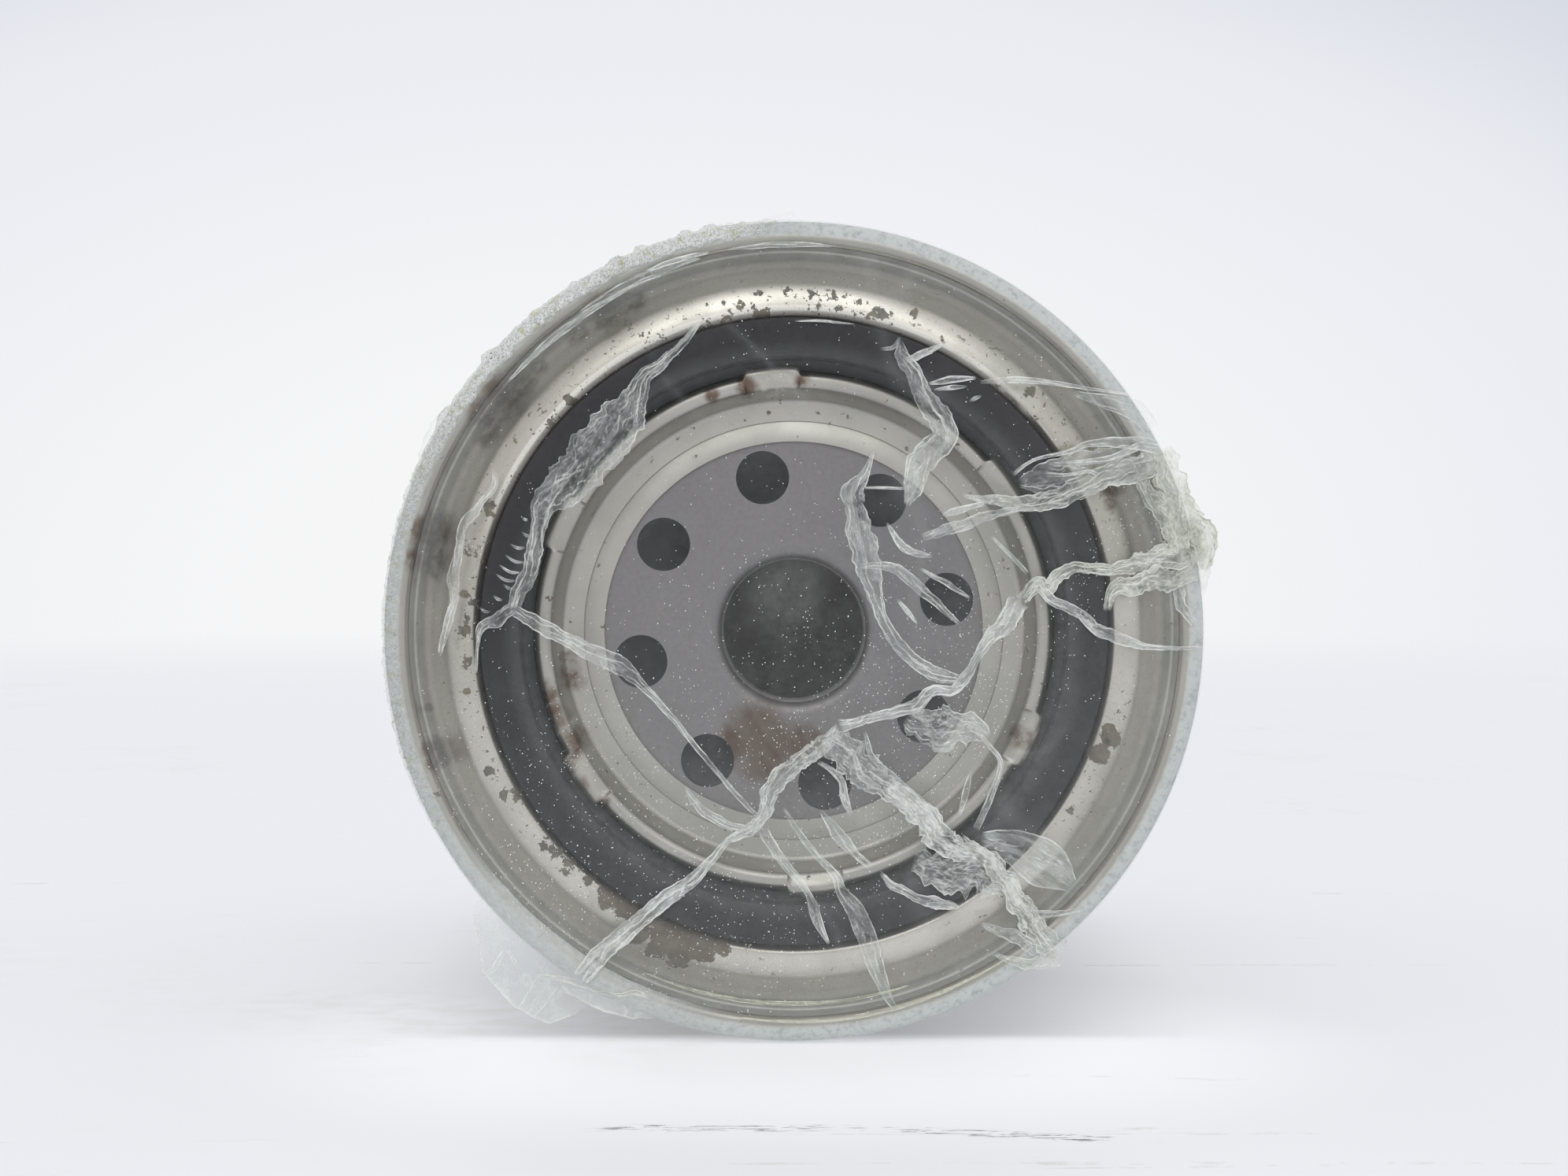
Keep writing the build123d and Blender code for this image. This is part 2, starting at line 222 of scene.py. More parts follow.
def newPiece(name, points, faces, material, smooth=35):
    mesh = bpy.data.meshes.new(name)
    mesh.from_pydata([Vector(p) * mm for p in points], [], faces)
    mesh.validate()
    piece = bpy.data.objects.new(name, mesh)
    scene.collection.objects.link(piece)
    mesh.materials.append(material)
    mesh.shade_smooth()
    if smooth < 180:
        mesh.set_sharp_from_angle(angle=math.radians(smooth))
    return piece


def outwards(piece):
    bm = bmesh.new()
    bm.from_mesh(piece.data)
    bmesh.ops.recalc_face_normals(bm, faces=bm.faces)
    bm.to_mesh(piece.data)
    bm.free()


def roundedLine(corners, bends, closed=False, stepAngle=9):
    # the line through the corners, with each bend drawn as an arc
    count = len(corners)
    line = []
    for i, corner in enumerate(corners):
        here = Vector(corner)
        if not closed and i in (0, count - 1):
            line.append(here)
            continue
        bend = bends[i if closed else i - 1]
        back = (Vector(corners[i - 1]) - here).normalized()
        ahead = (Vector(corners[(i + 1) % count]) - here).normalized()
        turn = math.pi - back.angle(ahead)
        if bend <= 0 or turn < 0.02:
            line.append(here)
            continue
        cut = bend * math.tan(turn / 2)
        start, end = here + back * cut, here + ahead * cut
        centre = here + (back + ahead).normalized() * (bend / math.cos(turn / 2))
        steps = max(2, round(math.degrees(turn) / stepAngle))
        for k in range(steps + 1):
            share = k / steps
            swing = (start - centre).normalized().slerp((end - centre).normalized(), share)
            line.append(centre + swing * bend)
    return [(p.x, p.y) for p in line]


def backCorners(corners, thickness):  # the corners of the sheet's other face, to the left of the line
    moved = []
    for i, corner in enumerate(corners):
        here = Vector(corner)
        sides = []
        if i > 0:
            sides.append((here - Vector(corners[i - 1])).normalized())
        if i < len(corners) - 1:
            sides.append((Vector(corners[i + 1]) - here).normalized())
        lefts = [Vector((-d.y, d.x)) for d in sides]
        middle = sum(lefts, Vector((0, 0))).normalized()
        moved.append(here + middle * thickness / max(0.3, middle.dot(lefts[0])))
    return [(p.x, p.y) for p in moved]


def backBends(corners, bends, thickness):  # the same bends, seen from the other face
    made = []
    for i, bend in enumerate(bends):
        a, b, c = (Vector(p) for p in corners[i:i + 3])
        leftTurn = (b - a).cross(c - b) > 0
        made.append(max(0.05, bend - thickness) if leftTurn else bend + thickness)
    return made


def turned(name, loop, material, segments=480, shape=None, closed=True, smooth=35):
    # the loop of (radius, y) turned about Y; shape(angle, radius, y) may move each point
    points, faces = [], []
    count = len(loop)
    for s in range(segments):
        angle = 360 * s / segments
        a = math.radians(angle)
        for radius, y in loop:
            if shape:
                radius, y = shape(angle, radius, y)
            points.append((radius * math.cos(a), y, radius * math.sin(a)))
    for s in range(segments):
        for i in range(count if closed else count - 1):
            j = (i + 1) % count
            n = (s + 1) % segments
            faces.append((s * count + i, s * count + j, n * count + j, n * count + i))
    piece = newPiece(name, points, faces, material, smooth)
    outwards(piece)
    return piece


def ease(low, high, value):
    share = min(1.0, max(0.0, (value - low) / (high - low)))
    return share * share * (3 - 2 * share)


def apart(first, second):  # how far two angles are apart, in degrees
    return abs((first - second + 180) % 360 - 180)


cameraSetting = {"side": -1.16, "height": 5.1, "away": 340.0, "viewWidth": 185.1, "sensor": 36}


def makeCamera():
    setting = cameraSetting
    camera = bpy.data.objects.new("camera", bpy.data.cameras.new("camera"))
    scene.collection.objects.link(camera)
    camera.location = (setting["side"] * mm, -setting["away"] * mm, setting["height"] * mm)
    camera.rotation_euler = (math.pi / 2, 0, 0)
    camera.data.sensor_width = setting["sensor"]
    camera.data.lens = setting["sensor"] * (setting["away"] + rimTop) / setting["viewWidth"]
    camera.data.clip_start = 0.01
    camera.data.clip_end = 100
    scene.camera = camera
    scene.view_settings.view_transform = "Standard"


def backShade(aside, height):
    # the backdrop is palest behind the object and falls off towards the corners of the view
    shades = {"middle": rgb(246, 246, 247), "around": rgb(235, 236, 242), "corner": rgb(214, 218, 227),
        "outside": rgb(236, 236, 242)}
    point = field("ShaderNodeCombineXYZ", {0: aside * 0.8, 2: height * 1.5})
    far = vectorCalc("DISTANCE", point, (-0.04, 0, 0))
    shade = mixed(spread(far, 0.08, 0.33), shades["middle"], shades["around"])
    shade = mixed(spread(far, 0.3, 0.42), shade, shades["corner"])
    return mixed(spread(far, 0.46, 0.8), shade, shades["outside"])


def lightStudio():
    # pale behind the object, a broad bright ring round the viewer's side and darker straight in front
    shades = {"side": (0.92, 0.92, 0.93, 1), "ring": (0.78, 0.78, 0.78, 1), "front": (0.36, 0.36, 0.37, 1)}
    world = bpy.data.worlds.new("studio")
    scene.world = world
    world.use_nodes = True
    tree = world.node_tree
    tree.nodes.clear()
    place = Field(addNode(tree, "ShaderNodeTexCoord").outputs["Generated"])
    front = axis(place, "Y") * -1.0
    depth = most(axis(place, "Y"), 0.05)
    back = backShade(axis(place, "X") / depth, axis(place, "Z") / depth)
    colour = mixed(spread(front, -0.6, -0.1), back, shades["side"])
    colour = mixed(spread(front, 0.35, 0.85), colour, shades["ring"])
    colour = mixed(spread(front, 0.95, 0.995), colour, shades["front"])
    light = field("ShaderNodeBackground", {"Color": colour, "Strength": 1.0})
    addNode(tree, "ShaderNodeOutputWorld", {"Surface": light})


def addLamp(name, place, size, power, colour=(1, 1, 1)):
    lamp = bpy.data.lights.new(name, "AREA")
    lamp.shape = "RECTANGLE"
    lamp.size, lamp.size_y = size
    lamp.energy = power
    lamp.color = colour
    holder = bpy.data.objects.new(name, lamp)
    holder.location = place
    holder.rotation_euler = (Vector((0, 0, 0)) - Vector(place)).to_track_quat("-Z", "Y").to_euler()
    scene.collection.objects.link(holder)


def scuffRow(place):
    # short dark strokes in a broken row in front of the object, which drifts forward to the right
    setting = {"front": 0.050, "middle": 0.007, "bend": 0.006, "slope": 0.22, "wobble": 0.004}
    x, front = axis(place, "X"), axis(place, "Y")
    drift = most(x - setting["bend"], 0.0) * setting["slope"]
    drift = drift + grain(stretched(place, 50, 0, 0), 1, 2) * setting["wobble"]
    row = spread(abs(front + setting["front"] + drift), 0.0022, 0.0012)
    row = row * spread(grain(stretched(place, 240, 1500, 1), 1, 4, 0.7), 0.53, 0.58)
    row = row * spread(abs(x - setting["middle"]), 0.034, 0.022)
    return row * spread(grain(stretched(place, 70, 0, 0), 1, 3), 0.42, 0.52)


def paintedFloorLight(place):
    # the floor's own glow, with painted light and painted shadow: even, more in a painted pool of light
    # round the object and in a strip in front of it, and less under the can, a painted shadow
    setting = {"even": 0.415, "back": 0.1, "near": 0.19, "paintedShade": 0.5}
    x, front = axis(place, "X"), axis(place, "Y")
    near = vectorCalc("DISTANCE", place, (0.0, 0.0, floorZ))
    # painted light: a strip of floor in front of the can and a pool round the object glow more
    glow = spread(front, 0.02, -0.2) * spread(abs(x), 0.075, 0.02) * setting["back"]
    glow = glow + spread(near, 0.075, 0.03, 0.0, setting["near"]) + setting["even"]
    # painted shadow: the glow falls off under the can's body
    paintedShadowZone = spread(front, 0.003, 0.010) * spread(front, 0.26, 0.12) * spread(abs(x), 0.057, 0.024)
    return glow * (1.0 - paintedShadowZone * setting["paintedShade"])


def makeFloor():
    setting = {
        "size": 9.0, "below": 0.05, "fadeStart": 0.9, "fadeEnd": 3.2, "light": rgb(226, 227, 230),
        "dirt": rgb(205, 200, 192), "scratch": rgb(170, 160, 150), "scuff": rgb(84, 80, 82),
        "paint": (0.66, 0.66, 0.66, 1),
    }
    material, shader, place = newMaterial("floorPaint")
    smudge = grain(stretched(place, 1.0, 0.6, 1), 9, 5, 0.6)
    fine = grain(stretched(place, 1.0, 1.0, 1), 160, 4, 0.7)
    slanted = field("ShaderNodeMapping", {"Vector": place, "Rotation": (0, 0, 0.5), "Scale": (3, 60, 1)})
    scratch = grain(slanted, 2.2, 5, 0.62, 1.5)
    line = spread(scratch, 0.655, 0.70) * spread(fine, 0.45, 0.6)
    dirt = spread(smudge, 0.55, 0.75) * spread(fine, 0.4, 0.65)
    colour = mixed(dirt * 0.35, setting["light"], setting["dirt"])
    colour = mixed(line * 0.35, colour, setting["scratch"])
    colour = mixed(scuffRow(place) * 0.9, colour, setting["scuff"])
    paint = mixed(1.0, colour, setting["paint"], "MULTIPLY")
    # the floor glows, with painted light and painted shadow round the can
    glow = paintedFloorLight(place)
    wire(shader, Base_Color=paint, Roughness=0.45, Emission_Color=colour, Emission_Strength=glow)
    shader.inputs["Specular IOR Level"].default_value = 0.3
    bumped(shader, scratch, 0.05, 0.0004)
    # far away the floor fades into the backdrop
    ahead = axis(place, "Y") + cameraSetting["away"] * mm
    aside = (axis(place, "X") - cameraSetting["side"] * mm) / ahead
    backdrop = field("ShaderNodeEmission", {"Color": backShade(aside, 0.0), "Strength": 1.0})
    far = spread(vectorCalc("LENGTH", place), setting["fadeStart"], setting["fadeEnd"])
    fade = field("ShaderNodeMixShader", {0: far, 1: Field(shader.outputs[0]), 2: backdrop})
    out = next(node for node in shader.id_data.nodes if node.type == "OUTPUT_MATERIAL")
    connect(out.inputs["Surface"], fade)
    half = setting["size"] / mm
    z = floorZ / mm - setting["below"]
    corners = [(-half, -half, z), (half, -half, z), (half, half, z), (-half, half, z)]
    floor = newPiece("floor", corners, [(0, 1, 2, 3)], material)


makeCamera()
lightStudio()
addLamp("softboxFront", (-0.015, -0.607, 0.441), (0.36, 0.54), 1.05)
makeFloor()
print("camera, floor and light made")


# where the bare steel is stained, rusted or pitted: (angle, radius, size) in degrees and millimetres
tinBlots = {
    "bloom": [(211, 30.4, 1.6), (214, 30.5, 1.6), (221, 30.4, 0.9), (203, 29.6, 1.4), (95, 29.4, 1.6),
        (92, 29.6, 1.5), (98, 29.4, 1.2), (58, 39.2, 1.8), (50, 38.8, 2.0), (44, 38.8, 1.4),
        (-27, 30.8, 1.2), (-23, 30.6, 1.2), (252, 40.3, 0.8), (248, 40.1, 0.8)],
    "olive": [(120, 43.8, 2.4), (116, 44, 1.6), (126, 43.9, 1.4), (138, 43.8, 1.8), (142, 43.9, 2.4),
        (147, 43.4, 1.6), (134, 44, 1.2), (164, 44.2, 2.2), (169, 43.8, 2.0), (25, 41.8, 1.8),
        (28, 40.6, 1.4), (33, 38.6, 1.2)],
    "brown": [(140, 45.2, 2.0), (145, 45.2, 1.6), (165, 45.5, 2.2), (169, 45.3, 1.6), (198, 45.2, 1.2),
        (200, 45.2, 1.2), (192, 44.8, 0.7), (24, 41.2, 1.3), (22, 40.4, 0.9), (190, 27.1, 1.3),
        (193, 26.9, 1.2), (187, 27.2, 1.0), (101, 29.6, 1.3), (88, 29.8, 1.0), (109, 29.6, 0.9),
        (222, 30.3, 0.9), (208, 30, 1.4), (216, 31.4, 1.3), (211, 31.6, 1.2), (200, 30, 1.6),
        (206, 29, 1.6), (194, 30.4, 1.4), (-25, 29.6, 1.4)],
    "rust": [(235, 38.4, 2.2), (238, 38.2, 2.4), (241, 38.2, 2.4), (244.5, 38.6, 2.9), (248, 38.7, 2.8),
        (251.5, 39.0, 3.0), (254.5, 39.0, 2.6), (247, 40.9, 2.4), (250.5, 41.2, 2.2), (243, 40.6, 1.9),
        (257, 38.4, 1.8), (-18, 39.4, 2.0), (-22, 38.9, 1.9)],
    "pit": [(119, 41.2, 0.9), (118.5, 42, 0.7), (117, 39.1, 0.8), (114, 38.5, 0.8), (106, 37.4, 1.2),
        (102, 37.6, 1.0), (98.5, 37.5, 0.9), (95.8, 37.8, 1.3), (99.3, 38.9, 0.7), (96, 40.1, 0.7),
        (91, 40.1, 0.7), (90.8, 38.8, 0.6), (86.5, 40.1, 0.9), (84.8, 39.6, 1.3), (83.6, 39.8, 0.9),
        (82.3, 38.6, 0.8), (80, 38.2, 0.8), (78.9, 39.3, 0.9), (75.8, 38.9, 1.1), (74, 39, 0.9),
        (73, 39.6, 0.6), (69, 40.4, 0.7), (45.5, 39.9, 0.8), (41.5, 38, 0.8), (139, 37.7, 1.1),
        (134, 38, 0.9), (230, 38.3, 1.0), (226, 38.4, 1.0), (223.5, 38.6, 0.9), (221.5, 38.8, 0.9),
        (210.4, 38.4, 0.8), (210, 39.3, 0.8), (204.5, 39.6, 0.6), (190.6, 39.4, 0.6), (185.5, 38.7, 0.9),
        (180, 39, 1.2), (177.5, 38.2, 0.9), (173.6, 39.3, 0.7), (175, 38.2, 0.6), (166, 39, 1.0),
        (158, 38.8, 1.2), (151, 45.2, 0.8), (-19.5, 39.4, 0.6), (-33, 39, 0.7)],
}
# (inner radius, outer radius, softness) of the lid's stamped forms, of a darker band on the crest and of
# the parts that have aged
tinRings = {
    "slope": (41.4, 44.2, 0.8), "wall": (44.3, 46.6, 0.5), "roll": (45.3, 46.7, 0.4),
    "darkCrest": (37.6, 41.8, 1.0), "foot": (37.4, 38.6, 0.35),
    "pitted": (36.8, 40.8, 1.2), "pittedEdge": (36.6, 37.7, 0.7),
}


def steelToneAndPaintedLight(place, turn, radius):
    # the steel before it rusted, with painted highlight and painted shade: each stamped form gets its own
    # painted brightness for the way it catches the light
    # metal, aged and speckle are the steel's own tone; the flange, wall and roll colours are painted shade,
    # the slope and foot colours painted highlight, and the crest gets a darker band
    shades = {
        "metal": rgb(212, 209, 200), "aged": rgb(192, 190, 181), "flange": rgb(150, 150, 146),
        "slope": rgb(246, 244, 238), "wall": rgb(150, 148, 140), "roll": rgb(104, 104, 100),
        "darkCrest": rgb(160, 157, 146), "foot": rgb(238, 235, 226), "speckle": rgb(150, 148, 138),
    }
    flangeR = 31.0
    colour = mixed(spread(grain(place, 90, 4), 0.35, 0.7), shades["metal"], shades["aged"])
    flange = spread(radius, flangeR + 0.4, flangeR - 0.4)
    slope, wall, roll = (ring(radius, *tinRings[name]) for name in ("slope", "wall", "roll"))
    # the crest is darker in two sectors
    darkCrest = most(sector(turn, 8, 50, 16), sector(turn, 114, 190, 20)) * ring(radius, *tinRings["darkCrest"])
    # painted highlight along the crest's foot at the top
    foot = ring(radius, *tinRings["foot"]) * sector(turn, 48, 158, 20)
    # painted shade on the upper left: the slope is less bright and the wall darker there
    paintedShade = sector(turn, 40, 175, 60) * 0.25
    speckle = spread(grain(place, 4200, 3, 0.7), 0.5, 0.75, 0.0, 0.4)
    amounts = {
        "flange": flange * 0.55, "slope": slope * (0.95 - paintedShade), "wall": wall * (paintedShade + 0.2),
        "roll": roll * 0.32, "darkCrest": darkCrest * 0.4, "foot": foot, "speckle": speckle,
    }
    for name, amount in amounts.items():
        colour = mixed(amount, colour, shades[name])
    return colour, flange, slope, wall, foot


def tinStain(place, name, strength, low=0.34, high=0.58):
    mottled = grain(place, 520, 5, 0.65)
    blots = spots(place, [(angle, radius, size * 1.4) for angle, radius, size in tinBlots[name]], 0.9, 420)
    return blots * spread(mottled, low, high, 0.35, 1.0) * strength


def tinPits(place, turn, radius):
    # dark pits: small ones wherever the floor has rusted, and larger ones at their own places
    zone = sector(turn, 66, 112, 14) * ring(radius, *tinRings["pitted"])
    for start, end, inner, outer in (
            (112, 158, 37.4, 41), (158, 234, 37.2, 40.2), (20, 62, 38.5, 42.4), (-36, -8, 38, 41)):
        zone = most(zone, sector(turn, start, end, 8) * ring(radius, inner, outer, 1.0))
    edge = sector(turn, 30, 235, 12) * ring(radius, *tinRings["pittedEdge"])
    larger = [(angle, r, size * (1.7 if 200 < angle < 236 else 1.3)) for angle, r, size in tinBlots["pit"]]
    islands = grain(place, 780, 5, 0.65) + spots(place, larger, 1.5, 1300) * 0.22 + edge * 0.03
    small = spread(grain(place, 1500, 3, 0.6), 0.62, 0.66) * zone
    return most(spread(islands, 0.665, 0.70), small) * spread(radius, 42.9, 42.4)


def makeBareTin():
    # bare stamped steel with painted highlight and painted shade on its stamped forms, stains and dark pits
    # where it has rusted, and the coat of paint on the seam
    shades = {
        "bloom": rgb(196, 194, 184), "olive": rgb(100, 92, 50), "brown": rgb(84, 54, 30),
        "rust": rgb(98, 88, 76), "paleRust": rgb(114, 108, 94),
        "pit": rgb(62, 60, 50), "palePit": rgb(106, 100, 78),
        "coat": rgb(196, 201, 199), "coatFleck": rgb(166, 171, 172),
    }
    coatR = 46.5
    # (inner radius, outer radius, loss of shine) where the steel lies deep
    deep = ((43.3, 44.9, 0.2), (27.2, 28.5, 0.16), (30.9, 32.6, 0.1))
    material, shader, place = newMaterial("bareTin")
    turn, radius = polar(place)
    mottled = grain(place, 520, 5, 0.65)
    colour, flange, slope, wall, foot = steelToneAndPaintedLight(place, turn, radius)
    bloom = tinStain(place, "bloom", 0.75, 0.46, 0.6)
    rust = spread(grain(place, 700, 4, 0.6) + spots(place, tinBlots["rust"], 0.6, 500) * 0.34, 0.67, 0.72)
    colour = mixed(bloom, colour, shades["bloom"])
    colour = mixed(tinStain(place, "olive", 0.72), colour, shades["olive"])
    colour = mixed(tinStain(place, "brown", 0.8), colour, shades["brown"])
    colour = mixed(rust, colour, mixed(spread(mottled, 0.35, 0.65), shades["rust"], shades["paleRust"]))
    pits = tinPits(place, turn, radius)
    colour = mixed(pits * 0.88, colour, mixed(spread(mottled, 0.4, 0.6), shades["pit"], shades["palePit"]))
    fray = (grain(place, 1300, 4) - 0.5) * 0.7
    painted = spread(radius + fray, coatR, coatR + 0.6)
    fleck = spread(grain(place, 1100, 4, 0.75), 0.45, 0.68)
    colour = mixed(painted, colour, mixed(fleck, shades["coat"], shades["coatFleck"]))
    stained = pits
    for part in (bloom, rust, painted):
        stained = most(stained, part)
    satin = slope * 0.08
    for inner, outer, loss in deep:
        satin = satin + ring(radius, inner, outer, 0.4) * loss
    # the painted highlight at the crest's foot is made less metallic too
    metallic = most(spread(stained, 0.0, 1.0, 0.96, 0.0) - satin - foot * 0.5, 0.0)
    rough = spread(grain(place, 90, 4), 0.3, 0.7, 0.28, 0.38) + stained * 0.25 + most(wall, flange) * 0.1
    wire(shader, Base_Color=colour, Metallic=metallic, Roughness=rough)
    bumped(shader, grain(place, 2600, 2) * 0.3 + pits * -1.0, 0.25, 0.00006)
    return material


def makePlateSteel():
    # grey steel with slanted streaks of rust beside the hole
    shades = {"base": rgb(122, 120, 122), "light": rgb(137, 134, 134), "fleck": rgb(110, 108, 110),
        "patch": rgb(94, 79, 64), "rust": rgb(82, 54, 44)}
    patchMarks = [(250, 12.6, 4.6), (262, 13.6, 4.4), (272, 13.4, 3.6), (244, 15, 3.6), (256, 16.2, 3.4)]
    material, shader, place = newMaterial("plateSteel")
    fine = grain(place, 1800, 3, 0.7)
    colour = mixed(grain(place, 60, 4), shades["base"], shades["light"])
    colour = mixed(spread(fine, 0.35, 0.75, 0.0, 0.25), colour, shades["fleck"])
    slanted = field("ShaderNodeVectorRotate", {"Vector": place, "Angle": 0.45}, rotation_type="Y_AXIS")
    streaks = grain(stretched(slanted, 620, 0, 150), 1, 4, 0.6)
    patch = spots(place, patchMarks, 0.8, 220)
    colour = mixed(patch * 0.85, colour, shades["patch"])
    colour = mixed(patch * spread(streaks, 0.42, 0.64) * 0.75, colour, shades["rust"])
    wire(shader, Base_Color=colour, Metallic=0.85, Roughness=spread(fine, 0.3, 0.7, 0.42, 0.55))
    bumped(shader, fine, 0.3, 0.00004)
    return material


def makeRubber(name, colour, lightColour, rough=0.6):
    material, shader, place = newMaterial(name)
    fine = grain(place, 1400, 3, 0.65)
    shade = mixed(spread(grain(place, 120, 3), 0.3, 0.8), colour, lightColour)
    wire(shader, Base_Color=shade, Roughness=spread(fine, 0.3, 0.7, rough - 0.08, rough + 0.1))
    bumped(shader, fine, 0.25, 0.00005)
    return material


def makeMetal(name, colour, darkColour, rough, brushed=False, metallic=1.0):
    material, shader, place = newMaterial(name)
    way = stretched(place, 300, 4000, 300) if brushed else place
    fine = grain(way, 1 if brushed else 1500, 3)
    shade = mixed(spread(grain(place, 80, 4), 0.3, 0.75), colour, darkColour)
    roughness = spread(fine, 0.3, 0.7, rough - 0.05, rough + 0.08)
    wire(shader, Base_Color=shade, Metallic=metallic, Roughness=roughness)
    bumped(shader, fine, 0.15, 0.00004)
    return material


def makePaint(name, colour, fleckColour, rough=0.35):
    material, shader, place = newMaterial(name)
    shade = mixed(spread(grain(place, 1900, 3, 0.7), 0.5, 0.75, 0.0, 0.5), colour, fleckColour)
    shade = mixed(spread(grain(place, 25, 4), 0.5, 0.8, 0.0, 0.3), shade, fleckColour)
    wire(shader, Base_Color=shade, Roughness=rough)
    bumped(shader, grain(place, 700, 2), 0.15, 0.00008)
    return material


def makePaper():
    material, shader, place = newMaterial("filterPaper")
    fibre = grain(stretched(place, 900, 300, 900), 1, 5, 0.7)
    wire(shader, Base_Color=mixed(fibre, rgb(196, 176, 132), rgb(222, 206, 168)), Roughness=0.9)
    bumped(shader, fibre, 0.4, 0.0001)
    return material


bareTin = makeBareTin()
plateSteel = makePlateSteel()
gasketRubber = makeRubber("gasketRubber", rgb(27, 26, 30), rgb(35, 34, 38))
valveRubber = makeRubber("valveRubber", rgb(92, 94, 100), rgb(110, 112, 118), 0.5)
capTin = makeMetal("capTin", rgb(196, 194, 186), rgb(170, 168, 160), 0.35)
dullTin = makeMetal("dullTin", rgb(142, 134, 118), rgb(104, 97, 84), 0.5)
springWire = makeMetal("springWire", rgb(120, 116, 112), rgb(92, 88, 84), 0.35, brushed=True)
ferrite = makeMetal("ferrite", rgb(58, 56, 58), rgb(44, 43, 45), 0.55, metallic=0.4)
canCoat = makePaint("canCoat", rgb(196, 200, 198), rgb(168, 172, 172))
potting = makeRubber("potting", rgb(120, 92, 48), rgb(146, 116, 66), 0.35)
sealant = makeRubber("sealant", rgb(128, 70, 60), rgb(150, 88, 72), 0.7)
filterPaper = makePaper()

looks = {
    plateSteel: ["base_plate", "pole_ring"],
    canCoat: ["can_shell"],
    sealant: ["seam_compound"],
    valveRubber: ["drain_back_valve"],
    gasketRubber: ["outlet_seal", "bypass_seal"],
    capTin: ["upper_end_cap", "lower_end_cap", "media_seam_clip", "magnet_cup", "spring_seat"],
    potting: ["upper_potting", "lower_potting"],
    filterPaper: ["pleated_media"],
    dullTin: ["centre_tube", "bypass_retainer", "bypass_poppet"],
    springWire: ["bypass_spring", "support_spring"],
    ferrite: ["ring_magnet"],
}
for look, names in looks.items():
    for name in names:
        nodes[name].data.materials.clear()
        nodes[name].data.materials.append(look)
print("materials made")


lidSetting = {
    "sheet": 0.52, "holeR": 22.7, "face": plateFace - 0.52, "stepR": 25.1,
    "ridgeFootR": 27.6, "ridgeR": 28.9, "ridgeTop": 2.6, "grooveInR": 30.8, "grooveOutR": 37.15,
    "crestR": 40.4, "crestY": 1.9, "wallR": 45.70, "valley": 7.2, "hookY": 4.6, "hook": 1.2,
    "crimps": [35, 95, 155, 215, 275, 335], "crimpArc": 12.5, "crimpPush": 0.75, "crimpDent": 0.5,
}


def lidCrimp(angle, radius, y):
    # each crimp pushes the ridge's outer wall over the gasket's shoulder and dents its inner slope
    size = lidSetting
    for middle in size["crimps"]:
        off = apart(angle, middle)
        if off < size["crimpArc"] / 2 + 0.6:
            push = 1 - ease(size["crimpArc"] / 2 - 0.5, size["crimpArc"] / 2 + 0.3, off)
            inR = size["grooveInR"]
            outer = ease(29.6, 30.6, radius) * ease(inR + 0.9, inR + 0.3, radius) * ease(4.6, 3.6, y)
            dent = ease(27.4, 28.2, radius) * ease(30.4, 29.2, radius) * ease(6.4, 4.2, y)
            return radius + size["crimpPush"] * push * outer, y + size["crimpDent"] * push * dent
    return radius, y


def makeLid():
    size = lidSetting
    foot = size["face"]
    corners = [
        (size["holeR"], foot), (size["ridgeFootR"], foot), (size["ridgeR"], size["ridgeTop"]),
        (size["grooveInR"], size["ridgeTop"]), (size["grooveInR"], foot), (size["grooveOutR"], foot),
        (size["grooveOutR"], size["crestY"]), (size["crestR"], size["crestY"]),
        (size["wallR"], size["valley"]), (size["wallR"], rimTop), (rimR, rimTop), (rimR, size["hookY"]),
        (rimR - size["hook"], size["hookY"]),
    ]
    bends = [0.8, 0.9, 0.9, 0.4, 0.4, 1.2, 4.8, 0.35, 0.8, 1.3, 0.7]
    front = roundedLine(corners, bends, stepAngle=7)
    backLine = backCorners(corners, size["sheet"])
    back = roundedLine(backLine, backBends(corners, bends, size["sheet"]), stepAngle=12)
    # a fine groove round the hole
    step = size["stepR"]
    front[1:1] = [(step - 0.12, foot), (step, foot + 0.07), (step + 0.08, foot - 0.03)]
    lid = turned("lid", front + back[::-1], bareTin, 720, lidCrimp)
    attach(lid, "canister")
    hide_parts("seaming_lid")


def makeGasket():
    size = {"inR": 32.3, "outR": 37.0, "shoulderR": 30.9, "shoulderY": 4.0, "foot": plateFace - 0.53}

    def worn(angle, radius, y):
        a = math.radians(angle)
        wobble = noise.noise(Vector((radius * math.cos(a), y, radius * math.sin(a))) * 0.35)
        if y < 0.6:
            y += 0.04 * wobble
        if radius < 33 and y < 3:
            radius += 0.07 * wobble
        return radius, y
    corners = [(size["shoulderR"], size["foot"]), (size["outR"], size["foot"]), (size["outR"], gasketFace),
        (size["inR"], gasketFace), (size["inR"], size["shoulderY"]), (size["shoulderR"], size["shoulderY"])]
    loop = roundedLine(corners, [0.5, 0.5, 0.35, 0.3, 0.2, 0.2], closed=True)
    ringPiece = turned("gasket_ring", loop, gasketRubber, 480, worn)
    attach(ringPiece, "canister")
    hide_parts("gasket")


makeLid()
makeGasket()
print("lid and gasket made")

filmSetting = {
    "gap": 0.12, "sag": 0.5, "rollR": 1.3, "rimGap": 0.13, "clearance": 0.14, "sideR": 46.93,
    "faceEdge": 45.4, "stepStart": 5.4, "stepEnd": 7.6, "shoulder": 10.6, "endHoleR": 24.0, "step": 1.6,
}
rollR = filmSetting["rollR"]
rollMiddle = rimR - rollR


